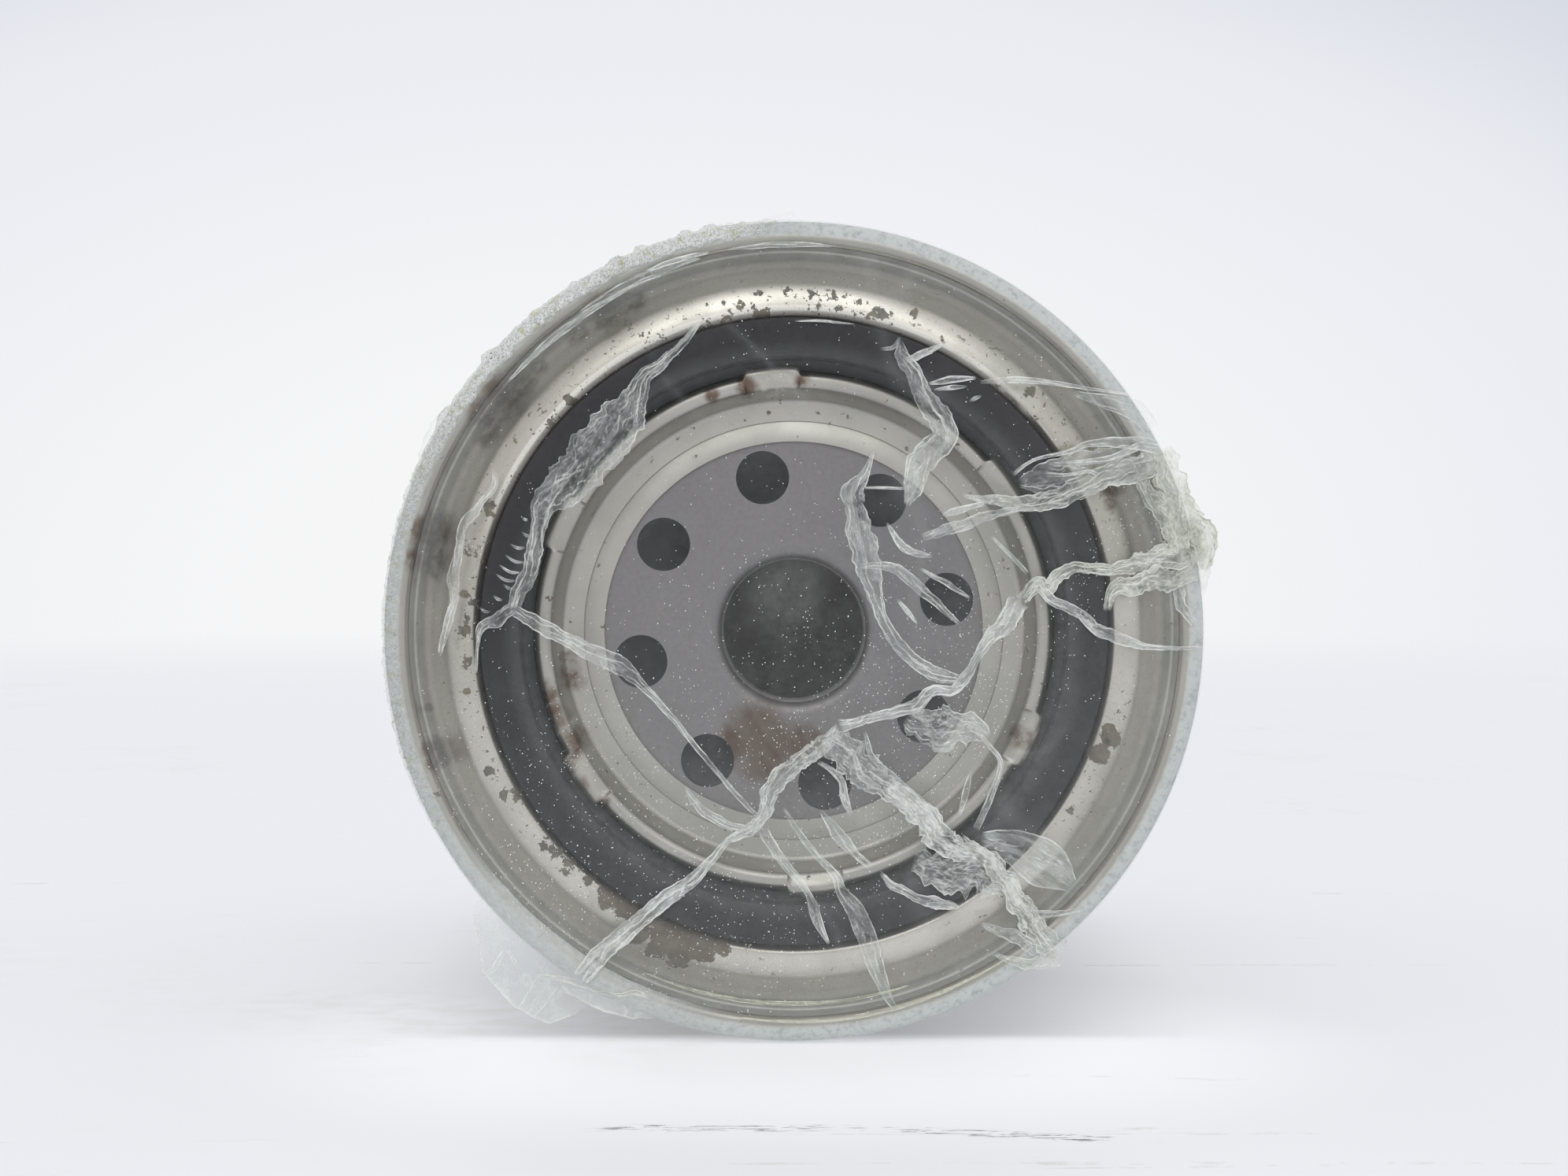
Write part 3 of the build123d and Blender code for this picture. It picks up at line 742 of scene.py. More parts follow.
def filmFront(radius):
    # how far back the stretched film lies at this radius: flat on the gasket, then up to the seam's roll
    gap = filmSetting["gap"]
    if radius < 33:
        return gasketFace - gap + filmSetting["sag"] * (1 - (radius / 33) ** 2) ** 2
    if radius < gasketOutR - 0.5:
        return gasketFace - gap
    if radius < rollMiddle:
        share = (radius - gasketOutR + 0.5) / (rollMiddle - gasketOutR + 0.5)
        return gasketFace - gap + (rimTop - gasketFace) * share
    reach = min(1.0, (radius - rollMiddle) / (rollR + gap))
    return rimTop + rollR - (rollR + gap) * math.sqrt(max(0.0, 1 - reach * reach))


def clearCover(flat, cloud, fine, mist, crease):
    # stretched film: a thin mist of powder, brighter where it is creased
    ridge = spread(abs(fine - 0.5), 0.06, 0.0)
    wisps = ridge * spread(cloud, 0.55, 0.8, 0.0, 0.02)
    powder = spread(grain(flat, 1.6, 3, 0.6), 0.35, 0.65, 0.9, 1.1)
    return mist * spread(cloud, 0.3, 0.7, 0.88, 1.12) * powder + wisps + crease * 0.45


def gatheredCover(shader, flat, cloud, mist, crease):
    # gathered film: the flow runs along each fold, so that the fine creases follow it
    flow = stored(shader, "flow", "Vector")
    wide, thread = grain(flow, 0.9, 2, 0.5, 0.5), grain(flow, 2.2, 2, 0.5, 0.4)
    streak = spread(abs(wide - 0.5), 0.028, 0.0)
    hair = spread(abs(thread - 0.5), 0.03, 0.0)
    lines = (streak * 0.9 + hair * 0.6) * spread(cloud, 0.4, 0.6, 0.15, 1.0)
    cover = mist * spread(wide, 0.3, 0.7, 0.2, 0.72) + lines * mist * 0.9
    return cover + crease * spread(grain(flat, 1.3, 2), 0.35, 0.6, 0.6, 1.0)


def makeFilmMaterial(name, thin):
    shades = {"clear": rgb(222, 226, 224), "crease": rgb(243, 244, 239), "tint": rgb(222, 224, 202)}
    thickest = 0.92
    material, shader, place = newMaterial(name)
    flat = stretched(place, 1 / mm, 1 / mm, 1 / mm)
    crease, mist, tint = (stored(shader, item) for item in ("crease", "mist", "tint"))
    cloud = grain(flat, 0.35, 4, 0.6)
    fine = grain(flat, 3.2, 4, 0.65, 0.6)
    if thin:
        cover = clearCover(flat, cloud, fine, mist, crease)
    else:
        cover = gatheredCover(shader, flat, cloud, mist, crease)
    colour = mixed(tint, mixed(crease, shades["clear"], shades["crease"]), shades["tint"])
    wire(shader, Base_Color=colour, Alpha=calc("MINIMUM", cover, thickest), Roughness=0.22 if thin else 0.3)
    shader.inputs["IOR"].default_value = 1.5
    bumped(shader, fine, 0.2, 0.0003)
    return material


filmClear = makeFilmMaterial("filmClear", True)
filmGathered = makeFilmMaterial("filmGathered", False)


def asFilm(piece, flow=None, **fields):
    # stores what the film's shader reads at each point, and gives the piece its body
    for name, values in fields.items():
        piece.data.attributes.new(name, "FLOAT", "POINT").data.foreach_set("value", values)
    if flow:
        stream = piece.data.attributes.new("flow", "FLOAT_VECTOR", "POINT")
        stream.data.foreach_set("vector", [value for point in flow for value in point])
    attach(piece, "canister")
    return piece


def gridFaces(columns, rows):  # the faces between columns x rows points, listed column by column
    starts = [i * rows + j for i in range(columns - 1) for j in range(rows - 1)]
    return [(a, a + 1, a + rows + 1, a + rows) for a in starts]


def wave(x, y, z=0.0):
    return noise.noise(Vector((x, y, z)))


def creased(value, sharpness):  # 1 where the noise crosses zero, falling off to 0 beside it
    return 1 - min(1.0, abs(value) * sharpness)


def makeFilmFace():
    # the film stretched over the threaded end, with the pull lines that run out to its creases
    line = [(0.02, 0)] + [(r * 0.75, 0) for r in range(1, 60)] + [(filmSetting["faceEdge"], 0)]
    mists, creases = [], []

    def stretch(angle, radius, y):
        a = math.radians(angle)
        x, z = radius * math.cos(a), radius * math.sin(a)
        loose = ease(45.4, 41, radius) * (1 - 0.9 * ease(31.5, 33, radius) * ease(37.5, 36, radius))
        drape = 0.16 * wave(x * 0.09, z * 0.09, 3) + 0.05 * wave(x * 0.3, z * 0.3, 7)
        mist = 0.008 + 0.05 * ease(-40, 35, 0.5 * x - z) + 0.04 * ease(30, 20, radius)
        mist += 0.03 * ease(36, 40, radius)
        mist += 0.05 * ease(40.5, 42, radius) + 0.09 * ease(42.8, 44.2, radius) + 0.015 * ease(5, -20, z)
        mist += 0.045 * ease(30.2, 31.6, radius) * ease(34.6, 32.6, radius)
        mists.append(mist + 0.07 * ease(6.5, 2, math.hypot(x + 1, z - 4.5)))
        pulls = creased(wave(x * 0.07 + 4, z * 0.07, 11), 9)
        creases.append(0.12 * pulls * pulls * ease(0.0, 0.35, wave(x * 0.05, z * 0.05, 19)))
        return radius, filmFront(radius) + loose * drape
    face = turned("film_face", line, filmClear, 360, stretch, closed=False, smooth=180)
    asFilm(face, mist=mists, crease=creases)


def makeFilmSleeve():
    # the sleeve goes over the seam, along the can and round the dome's shoulder to a ragged hole
    s = filmSetting
    end = canEnd + s["clearance"]
    rollEdge, side = rollMiddle - 1.0, rimR + s["rimGap"]
    corners = [(s["faceEdge"], filmFront(s["faceEdge"])), (rollEdge, filmFront(rollEdge)),
        (side, rimTop - s["gap"]), (side, s["stepStart"]), (s["sideR"], s["stepEnd"]), (s["sideR"], end),
        (s["endHoleR"], end)]
    bends = [0.2, rollR + 0.1, 0.6, 0.8, s["shoulder"]]
    coarse = roundedLine(corners, bends, stepAngle=12)
    line = []
    for (r0, y0), (r1, y1) in zip(coarse, coarse[1:]):
        steps = max(1, round(math.hypot(r1 - r0, y1 - y0) / s["step"]))
        line += [(r0 + (r1 - r0) * k / steps, y0 + (y1 - y0) * k / steps) for k in range(steps)]
    line.append(coarse[-1])
    mists, creases = [], []

    def shrink(angle, radius, y):
        # long pull lines along the can, slack folds at the shoulder, and a torn edge at the hole
        a = math.radians(angle)
        c, d = math.cos(a), math.sin(a)
        pull = creased(wave(c * 7, d * 7, y * 0.012), 7)
        slant = creased(wave(c * 3 + y * 0.03, d * 3, y * 0.02 + 5), 9)
        gather = ease(126, 141, y) * abs(wave(c * 12, d * 12, 2.0)) * 2.2
        lift = (0.30 * pull * pull + 0.35 * slant * slant) * ease(8, 16, y) + gather
        lift += 0.12 * ease(4.0, 1.2, y) * abs(wave(c * 20, d * 20, y))
        worn = ease(8, 3, y) * ease(210, 226, angle) * ease(262, 246, angle)
        mists.append(0.10 + 0.05 * wave(c * 4, d * 4, y * 0.05) + 0.10 * ease(128, 143, y) + 0.45 * worn)
        creases.append(min(1.0, 0.55 * pull ** 6 + 0.5 * slant ** 6 + 0.5 * gather) * ease(6, 12, y))
        if y > end - 0.5:
            torn = ease(38, s["endHoleR"], radius)
            return radius + torn * 3.2 * abs(wave(c * 6, d * 6, 8)), y + lift * 0.5
        return radius + lift, y
    sleeve = turned("film_sleeve", line, filmClear, 420, shrink, closed=False, smooth=180)
    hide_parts("shrink_film")
    return asFilm(sleeve, mist=mists, crease=creases)


def smoothRoute(route, step):
    # evenly spaced (x, z, width) on a smooth curve through the route's points
    path = [route[0]] + list(route) + [route[-1]]
    points = []
    for a, b, c, d in zip(path, path[1:], path[2:], path[3:]):
        steps = max(2, round(math.hypot(c[0] - b[0], c[1] - b[1]) / step))
        for k in range(steps):
            t = k / steps
            points.append([0.5 * (2 * q + (r - p) * t + (2 * p - 5 * q + 4 * r - s) * t * t
                + (3 * q - p - 3 * r + s) * t ** 3) for p, q, r, s in zip(a, b, c, d)])
    points.append(list(route[-1]))
    return points


def makeFold(name, route, strands=3, mist=0.32, tint=0.0, lift=0.35, rough=0.5, seed=0, depth=0.0):
    # gathered film: a band along the route with bright edges, wandering strands and fine crumples
    # the spacing along the route, the length over which each end fades, and the gap to the stretched film
    step, faded, above = 0.28, 0.8, 0.10
    path = smoothRoute(route, step)
    across = max(6, min(46, round(max(w for x, z, w in route) / 0.12)))
    points, creases, mists, flow = [], [], [], []
    reach = 0.0
    for i, (x, z, width) in enumerate(path):
        ahead, behind = path[min(i + 1, len(path) - 1)], path[max(i - 1, 0)]
        way = Vector((ahead[0] - behind[0], ahead[1] - behind[1])).normalized()
        side = Vector((-way.y, way.x))
        if i:
            reach += math.hypot(x - path[i - 1][0], z - path[i - 1][1])
        end = min(1.0, reach / faded + 0.1, (len(path) - 1 - i) * step / faded + 0.1)
        sway = rough * 0.35 * width ** 0.5 * wave(reach * 0.45, seed * 3.1, 1)
        edges = [1 + rough * (0.45 * wave(reach * 0.9, seed, k + 5) + 0.25 * wave(reach * 2.3, seed, k + 8))
            for k in (10, 0)]
        hems = [0.35 + 0.65 * ease(-0.2, 0.3, wave(reach * 0.35, k * 7 + seed, 81)) for k in (0, 1)]
        lines = []
        for k in range(strands):
            wander = -0.7 + 1.4 * (k + 0.5) / strands + 0.75 * wave(reach * 0.16, k * 2.7 + seed, 21)
            wander += 0.25 * wave(reach * 0.7, k * 1.3 + seed, 31)
            lines.append((wander, 0.8 * ease(-0.2, 0.35, wave(reach * 0.22, k * 4.1 + seed, 41))))
        for j in range(across + 1):
            v = -1 + 2 * j / across
            half = width / 2 * edges[v > 0]
            off = v * half + sway
            px, pz = x + side.x * off, z + side.y * off
            edge = max(0.0, 1 - (1 - abs(v)) * half / 0.2) * hems[v > 0]
            strand = 0.0
            for wander, strength in lines:
                strand = max(strand, strength * max(0.0, 1 - abs(v - wander) * half / 0.13))
            along = creased(wave(reach * 0.75, off * 1.5 + seed, 51), 5)
            crumple = max(along, creased(wave(px * 1.3 + seed, pz * 1.3, 61), 6) * 0.8) ** 2
            rise = lift * (0.35 * (1 - v * v) + 0.6 * strand + 0.55 * crumple + 0.5 * edge * rough)
            rise += lift * 0.8 * wave(px * 0.5, pz * 0.5, seed + 71)
            points.append((px, filmFront(math.hypot(px, pz)) - above - max(0.0, rise) + depth, pz))
            creases.append(end * min(1.0, max(edge, strand, 0.6 * crumple * rough)))
            mists.append(end * mist * (1.15 + 0.9 * wave(reach * 0.3, off * 0.6, seed + 91)))
            flow.append((reach * 0.28, off * 1.5, seed * 3.7))
    fold = newPiece(name, points, gridFaces(len(path), across + 1), filmGathered, 180)
    asFilm(fold, flow, crease=creases, mist=mists, tint=[tint] * len(points))


def rimRoute(radius, start, end, width):
    # a route along the rim, widest in its middle
    route = []
    for k in range(9):
        a = math.radians(start + (end - start) * k / 8)
        route.append((radius * math.cos(a), radius * math.sin(a), 0.2 + width * math.sin(math.pi * k / 8)))
    return route


# each fold: how it is gathered, then its route as (x, z, width) in millimetres across the threaded end
folds = {
    "fold_left": (dict(strands=5, mist=0.26), [(-10.6, 36.8, 0.3), (-12.8, 34.2, 0.9), (-14.9, 32.1, 1.2),
        (-17.6, 29.9, 2.0), (-18.6, 27.7, 3.0), (-20, 25.4, 5.0), (-21.8, 22.9, 6.0), (-24.5, 19.9, 5.6),
        (-26.7, 17.4, 5.4), (-29.2, 15.2, 3.2), (-30, 12.5, 1.8), (-30.5, 9.7, 2.0), (-31.1, 6.8, 2.0),
        (-32.5, 4.5, 1.8), (-33, 2.6, 1.4)]),
    "fold_left_foot": (dict(strands=2), [(-32.8, 3, 1.2), (-34.9, 1.4, 1.6), (-36.8, 0.4, 1.0),
        (-37.2, -1.5, 0.5), (-37.4, -5, 0.3)]),
    "fold_left_rim": (dict(strands=2), [(-35.3, 18.9, 0.5), (-35.1, 17.2, 0.8), (-36.7, 15.4, 0.7),
        (-37.9, 13.7, 1.2), (-39.2, 12, 1.0), (-39.4, 9.7, 1.0), (-40.2, 6.2, 1.4), (-39.9, 3.7, 1.0),
        (-40.9, 0.5, 1.0), (-41.6, -2.7, 0.5)]),
    "fold_knot": (dict(rough=0.35), [(-33, 2.6, 1.2), (-30, 0.8, 1.8), (-27, -0.8, 1.6),
        (-23.7, -2.5, 2.0), (-20.3, -4.2, 2.2), (-17.6, -6.6, 1.0), (-13.8, -10.8, 0.7),
        (-10.6, -14.7, 0.6), (-7.4, -18.5, 0.6), (-4.5, -21.6, 0.5)]),
    "strap_upper": (dict(strands=4, mist=0.55), [(26.6, 3.6, 2.4), (24.8, 0.9, 2.2), (22.5, -1.5, 1.4),
        (21.3, -3.5, 1.0), (20.1, -5.5, 1.3), (18.6, -7.0, 1.2), (16.6, -6.9, 1.3), (14.4, -8.7, 1.6),
        (11.8, -9.5, 1.3), (7.9, -10.5, 1.1), (5.4, -11.3, 1.5)]),
    "strap_middle": (dict(strands=4, mist=0.46, rough=0.9), [(5.4, -11.3, 1.5), (3.8, -12.7, 2.0),
        (2.8, -14, 2.2), (0.9, -15, 2.0), (-1.6, -17.2, 2.2), (-2.9, -18.8, 2.0), (-3.6, -21.4, 1.6),
        (-4.5, -22.8, 1.6), (-7.7, -24.6, 0.8)]),
    "strap_lower": (dict(strands=4, mist=0.62, rough=0.35), [(-4.5, -22.8, 1.2), (-7.7, -24.6, 0.8),
        (-9.6, -26.8, 1.0), (-11.9, -29.1, 1.5), (-14.9, -31.3, 2.0), (-18, -33.9, 1.9),
        (-20.8, -36.3, 2.2), (-23.2, -38.6, 2.2), (-25.4, -41.2, 2.0)]),
    "strap_right": (dict(strands=5, mist=0.65, tint=0.3, rough=0.8), [(26.6, 3.6, 1.6), (28.7, 5.6, 1.6),
        (29.8, 5.0, 1.6), (31.4, 6.8, 1.6), (33.7, 7.6, 1.3), (37, 7.2, 1.4), (40, 7.9, 2.0),
        (42.9, 8.4, 2.8), (45.9, 9.3, 3.6), (48.4, 10.3, 3.4)]),
    "strand_right_low": (dict(strands=2, mist=0.44), [(28.7, 5.4, 1.0), (30.5, 3.6, 1.2),
        (33.7, 2.1, 1.2), (35.5, 0.3, 1.4), (38.5, -0.9, 1.4), (41.4, -1.8, 0.8), (45, -2.0, 0.5),
        (48.3, -2.0, 0.4)]),
    "band_right_mid": (dict(strands=4, mist=0.52, tint=0.3, rough=0.9), [(37, 2.4, 0.8), (37.3, 4.5, 1.4),
        (39.7, 5.4, 2.4), (42.6, 6.2, 2.8), (45.3, 6.2, 2.4), (47.5, 6.8, 1.6)]),
    "fold_upper_right": (dict(strands=4, mist=0.38), [(12.5, 34.2, 0.4), (12.6, 32.6, 1.6),
        (13.9, 30.8, 1.8), (14.8, 28.8, 2.0), (15.9, 26.7, 2.4), (17.4, 24.6, 3.0), (17.7, 22.8, 2.8),
        (15.7, 20.8, 3.2), (14.5, 19, 3.0), (14, 16.9, 2.2), (13.3, 14.8, 0.6)]),
    "spur_left": (dict(strands=1, mist=0.44), [(10.2, 33.2, 0.3), (11.6, 33.4, 0.5), (12.5, 34.6, 0.3)]),
    "spur_right": (dict(strands=2, mist=0.44), [(12.9, 31.8, 0.6), (15, 32.6, 0.9), (17.7, 33.8, 0.3)]),
    "crease_upper_1": (dict(strands=2, mist=0.44, rough=0.2), [(15.8, 29.1, 0.3), (18.4, 29.6, 0.9),
        (21.4, 29.8, 0.3)]),
    "crease_upper_2": (dict(strands=1, mist=0.44, rough=0.2), [(16.4, 28.4, 0.2), (18.6, 28.7, 0.6),
        (20.4, 28.8, 0.2)]),
    "crease_upper_3": (dict(strands=1, mist=0.44, rough=0.15), [(21.9, 29.3, 0.4), (25.5, 29.6, 0.8),
        (29.3, 29.4, 0.7), (35.5, 28.5, 0.4), (39.7, 27.9, 0.4)]),
    "crease_upper_4": (dict(strands=1, mist=0.57, rough=0.1), [(20.6, 27.0, 0.2), (21.3, 27.4, 0.5),
        (22.1, 27.7, 0.2)]),
    "web_upper_right": (dict(strands=2, mist=0.19, rough=0.2), [(33, 28, 0.6), (37.2, 27, 1.8),
        (40.4, 26, 2.6), (42.4, 23.8, 2.0)]),
    "crease_cross": (dict(strands=1, mist=0.6, rough=0.0), [(7.9, 16.9, 0.3), (10.4, 16.9, 0.35),
        (13.1, 16.8, 0.3)]),
    "knot_centre": (dict(mist=0.46), [(9.4, 21.2, 0.3), (8.6, 19, 0.9), (7.5, 17.3, 2.0),
        (7.0, 16.0, 2.8), (7.3, 14.8, 2.0)]),
    "fold_centre": (dict(rough=0.4), [(7.1, 15.1, 2.0), (7.7, 11.9, 3.0), (8.6, 8.3, 3.2),
        (9.4, 5.4, 2.2), (10, 2.4, 1.4), (11.8, -0.8, 1.6), (14.2, -3.5, 1.6), (16.9, -5, 1.8),
        (19.5, -5.8, 1.0)]),
    "fold_centre_low": (dict(mist=0.3, rough=0.4), [(7.7, 7.7, 0.5), (11.8, 7.4, 1.2), (14.8, 5.1, 1.3),
        (19.5, 0.9, 0.4)]),
    "crease_centre_1": (dict(strands=2, mist=0.41), [(10.9, 12.8, 0.3), (13, 9.8, 1.0),
        (16.3, 8.8, 0.4)]),
    "crease_centre_2": (dict(strands=2, mist=0.3), [(14.8, 7.4, 0.3), (18, 5.6, 0.7), (20.7, 3.9, 0.3)]),
    "crease_centre_3": (dict(strands=1, mist=0.57, rough=0.2), [(12.1, 3.9, 0.2), (13.3, 2.4, 0.6),
        (14.6, 0.8, 0.2)]),
    "crease_centre_4": (dict(strands=1, mist=0.44, rough=0.2), [(23.2, 11.2, 0.3), (25.4, 9, 0.5),
        (27.5, 6.8, 0.5)]),
    "band_upper_1": (dict(strands=4, mist=0.44, tint=0.15), [(19.8, 16, 0.4), (23.7, 15.4, 1.2),
        (28.7, 15.1, 2.2), (34, 16.9, 2.2), (36.4, 18.1, 2.6), (40, 19, 3.0), (44, 20.4, 3.0)]),
    "band_upper_2": (dict(strands=2, mist=0.44, rough=0.25), [(25.7, 18.4, 0.5), (28.4, 20.2, 0.4),
        (32.5, 21.2, 0.6), (34.9, 22.1, 0.8), (40.3, 22.2, 1.6), (43.2, 21.6, 1.6)]),
    "band_upper_3": (dict(strands=2, mist=0.57, rough=0.2), [(30.2, 19.6, 0.5), (34.3, 19.9, 0.7),
        (37.6, 20.5, 0.8), (40.8, 21.9, 1.0)]),
    "band_upper_4": (dict(strands=1, mist=0.57, rough=0.2), [(29.3, 18.5, 0.6), (32, 18.4, 0.4),
        (34.6, 18.8, 0.4), (35.8, 18.4, 0.5)]),
    "web_upper": (dict(strands=2, mist=0.26, rough=0.3, depth=0.05), [(26.5, 17.4, 1.0), (30, 18, 4.2),
        (34.5, 19, 4.6), (40, 20.4, 3.2)]),
    "band_low_1": (dict(mist=0.33), [(15.1, 11, 0.8), (18.9, 12.2, 1.4), (23.7, 13.9, 1.0),
        (28.7, 14.7, 0.4)]),
    "band_low_2": (dict(strands=2, mist=0.44), [(17.4, 13.7, 0.4), (19.2, 14.2, 0.9), (22.5, 15, 0.5)]),
    "bunch_rim_1": (dict(strands=6, mist=0.55, tint=0.5, rough=0.9, lift=0.6), [(43.2, 21.4, 2.6),
        (44.6, 18.4, 4.0), (45.3, 15.1, 4.4), (45.6, 12.2, 5.0), (46.4, 9.2, 4.6)]),
    "bunch_rim_2": (dict(mist=0.35, tint=0.4, rough=0.8), [(41.1, 18.1, 1.4), (42, 16, 2.0),
        (43.8, 14, 3.0), (45.6, 11, 3.0)]),
    "bunch_rim_3": (dict(strands=5, mist=0.7, tint=0.6, rough=1.0, lift=1.1), [(46.6, 13.6, 2.6),
        (47.8, 11.4, 3.6), (48.3, 9.6, 3.4), (47.6, 7.4, 2.6)]),
    "strand_rim_low": (dict(strands=2, mist=0.37, rough=0.7), [(45.3, 5.4, 1.4), (45.9, 2.7, 1.2),
        (47.5, 0.8, 0.8)]),
    "crumple_1": (dict(strands=6, mist=0.3, rough=0.9, lift=0.5), [(3.4, -12.4, 1.6), (5.0, -13.4, 3.8),
        (7.2, -15.2, 4.4), (9.2, -17, 3.6), (11.4, -18.7, 2.8), (13.4, -20.1, 2.6)]),
    "crumple_2": (dict(strands=6, mist=0.8, rough=1.0, lift=0.6), [(10.8, -18, 2.0), (13.4, -20.1, 2.8),
        (15.6, -22.3, 3.2), (17.6, -24.8, 3.4), (19.4, -25.6, 2.6), (22, -26.6, 2.0)]),
    "crumple_3": (dict(strands=6, mist=0.7, tint=0.2, rough=1.0, lift=0.6), [(19.6, -24.2, 1.4),
        (23, -27.1, 2.2), (24.8, -29.4, 2.0), (25.9, -31.9, 2.4), (27.5, -33.4, 2.8), (29.4, -36, 2.6),
        (31.6, -38.4, 3.0)]),
    "net_1": (dict(strands=2, mist=0.33), [(2.8, -15.3, 0.5), (5.4, -17.2, 0.8), (6, -19.5, 1.0),
        (6.7, -21.7, 0.5)]),
    "net_2": (dict(strands=2, mist=0.37), [(7, -14.3, 0.4), (7.9, -16.9, 0.9), (10.2, -18.5, 0.6)]),
    "net_3": (dict(strands=2, mist=0.3), [(8.3, -11.8, 0.4), (9.2, -14.7, 0.7), (11.5, -16.9, 0.8),
        (15, -20.1, 0.8)]),
    "web_lower": (dict(strands=6, mist=0.26, rough=0.9, lift=0.3), [(13.2, -10, 2.6), (16.9, -11.6, 4.8),
        (20.8, -11.3, 3.6), (22.6, -12.8, 1.2)]),
    "outline_lower": (dict(strands=1, mist=0.3, rough=0.3), [(20.8, -10.8, 0.4), (22.7, -13.1, 0.5),
        (24.3, -15.6, 0.6), (23, -19.8, 0.8), (21.4, -23.3, 0.8)]),
    "crease_lower_1": (dict(strands=1, mist=0.27, rough=0.2), [(20.8, -16.6, 0.3), (20.2, -19, 0.8),
        (19.4, -21.8, 0.3)]),
    "web_gasket": (dict(strands=4, rough=1.0, lift=0.4), [(14, -27, 2.0), (18.2, -28, 5.4),
        (22.4, -28.4, 5.0), (25.4, -30.4, 3.0)]),
    "strand_gasket": (dict(strands=2, mist=0.44, rough=0.7), [(10.2, -28.4, 0.4), (11.8, -30, 1.0),
        (14.4, -31.3, 1.0), (16.9, -31.9, 1.5), (19.5, -32.6, 0.4)]),
    "fan_low_1": (dict(mist=0.38, rough=0.7, tint=0.3), [(23.4, -38, 0.4), (27.6, -39.3, 1.4),
        (31.6, -38.6, 2.0)]),
    "fan_low_2": (dict(strands=2, mist=0.33), [(27.5, -33.4, 1.4), (31, -33.3, 0.8), (34.4, -32.8, 0.3)]),
    "fan_low_3": (dict(mist=0.33, rough=0.7), [(22, -34.4, 0.4), (26, -36, 1.6), (30.4, -38, 2.0)]),
    "patch_low": (dict(strands=1, mist=0.4, rough=0.1, lift=0.1), [(22, -24.6, 2.0), (26, -25.4, 4.2),
        (29.8, -27.6, 5.6), (32.8, -30, 1.6)]),
    "thin_left": (dict(strands=2, mist=0.27), [(-12.8, -18.2, 0.3), (-11.9, -19.8, 0.8), (-9, -22.3, 1.2),
        (-5.4, -23.2, 0.6)]),
    "thin_1": (dict(strands=2, mist=0.3, rough=0.4), [(-3.6, -23.3, 1.2), (-2, -26.2, 1.2),
        (0, -28.7, 1.0), (1.6, -30.7, 0.8), (2.5, -32.9, 1.3), (3.2, -35.1, 0.9), (4.1, -36.8, 0.3)]),
    "thin_2": (dict(strands=2, mist=0.26, rough=0.3), [(-1.3, -20.7, 0.3), (0.3, -23.3, 0.7),
        (2.8, -26.5, 0.8), (4.8, -28.7, 1.0), (5.7, -30.7, 1.4), (7.3, -32.9, 2.2), (8.6, -36.1, 2.3),
        (9.6, -39.3, 2.0), (10.8, -42.6, 1.2), (11.9, -44.6, 0.6)]),
    "thin_3": (dict(strands=2, mist=0.27), [(3.2, -21.1, 0.4), (5.4, -24.2, 1.6), (7, -25.9, 1.0),
        (9.2, -27.8, 0.8)]),
    "sheen_rim_1": (dict(strands=2, mist=0.22, rough=0.3), rimRoute(45.3, 124, 104, 0.9)),
    "sheen_rim_2": (dict(strands=2, mist=0.16, rough=0.3), rimRoute(44.7, 139, 116, 0.7)),
    "sheen_rim_3": (dict(strands=1, mist=0.14, rough=0.2), rimRoute(45.6, 100, 84, 0.5)),
    "sheen_rim_4": (dict(strands=1, mist=0.2, rough=0.2, tint=0.9), rimRoute(43.9, 246, 288, 0.35)),
    "sheen_rim_5": (dict(strands=1, mist=0.22, rough=0.2, tint=0.9), rimRoute(46.0, 262, 303, 0.35)),
    "crease_top": (dict(strands=1, mist=0.6, rough=0.1), [(0.1, 36.5, 0.15), (3.4, 36.5, 0.32),
        (7.1, 36.1, 0.15)]),
    "crease_rim_left": (dict(strands=2, mist=0.44, rough=0.3), [(-17.5, 42.4, 0.2), (-14, 43.7, 0.7),
        (-10, 44.7, 0.3)]),
}


def makeHatch():
    # a row of short curved wrinkles beside the left fold, each from (x, z, length)
    random.seed(11)
    wrinkles = [(-31.6, 13.2, 0.7), (-31.4, 11.4, 1.2), (-32.5, 10, 1.7), (-32.8, 8.5, 2.3),
        (-33.4, 7.3, 2.6), (-33.9, 6.3, 2.4), (-33.6, 5.2, 1.0), (-34.8, 3.9, 1.1), (-36.3, 2.5, 1.3)]
    for i, (x, z, length) in enumerate(wrinkles):
        slope = -0.30 + random.uniform(-0.2, 0.15)
        route = [(x - length / 2, z - slope * length / 2 + 0.12, 0.15), (x, z - 0.12 * length, 0.38),
            (x + length / 2, z + slope * length / 2, 0.2)]
        makeFold(f"film_hatch_{i + 1}", route, strands=1, mist=0.42, lift=0.25, rough=0.15, seed=70 + i)


def alongLine(line, count):
    # count evenly spaced points along the line through the given points
    lengths = [0.0]
    for (x0, z0), (x1, z1) in zip(line, line[1:]):
        lengths.append(lengths[-1] + math.hypot(x1 - x0, z1 - z0))
    result = []
    for k in range(count):
        want, i = lengths[-1] * k / (count - 1), 0
        while i < len(line) - 2 and lengths[i + 1] < want:
            i += 1
        share = (want - lengths[i]) / (lengths[i + 1] - lengths[i])
        (x0, z0), (x1, z1) = line[i], line[i + 1]
        result.append((x0 + (x1 - x0) * share, z0 + (z1 - z0) * share))
    return result


def rimArc(radius, start, end, count=12):
    turns = [math.radians(start + (end - start) * k / count) for k in range(count + 1)]
    return [(radius * math.cos(a), radius * math.sin(a)) for a in turns]


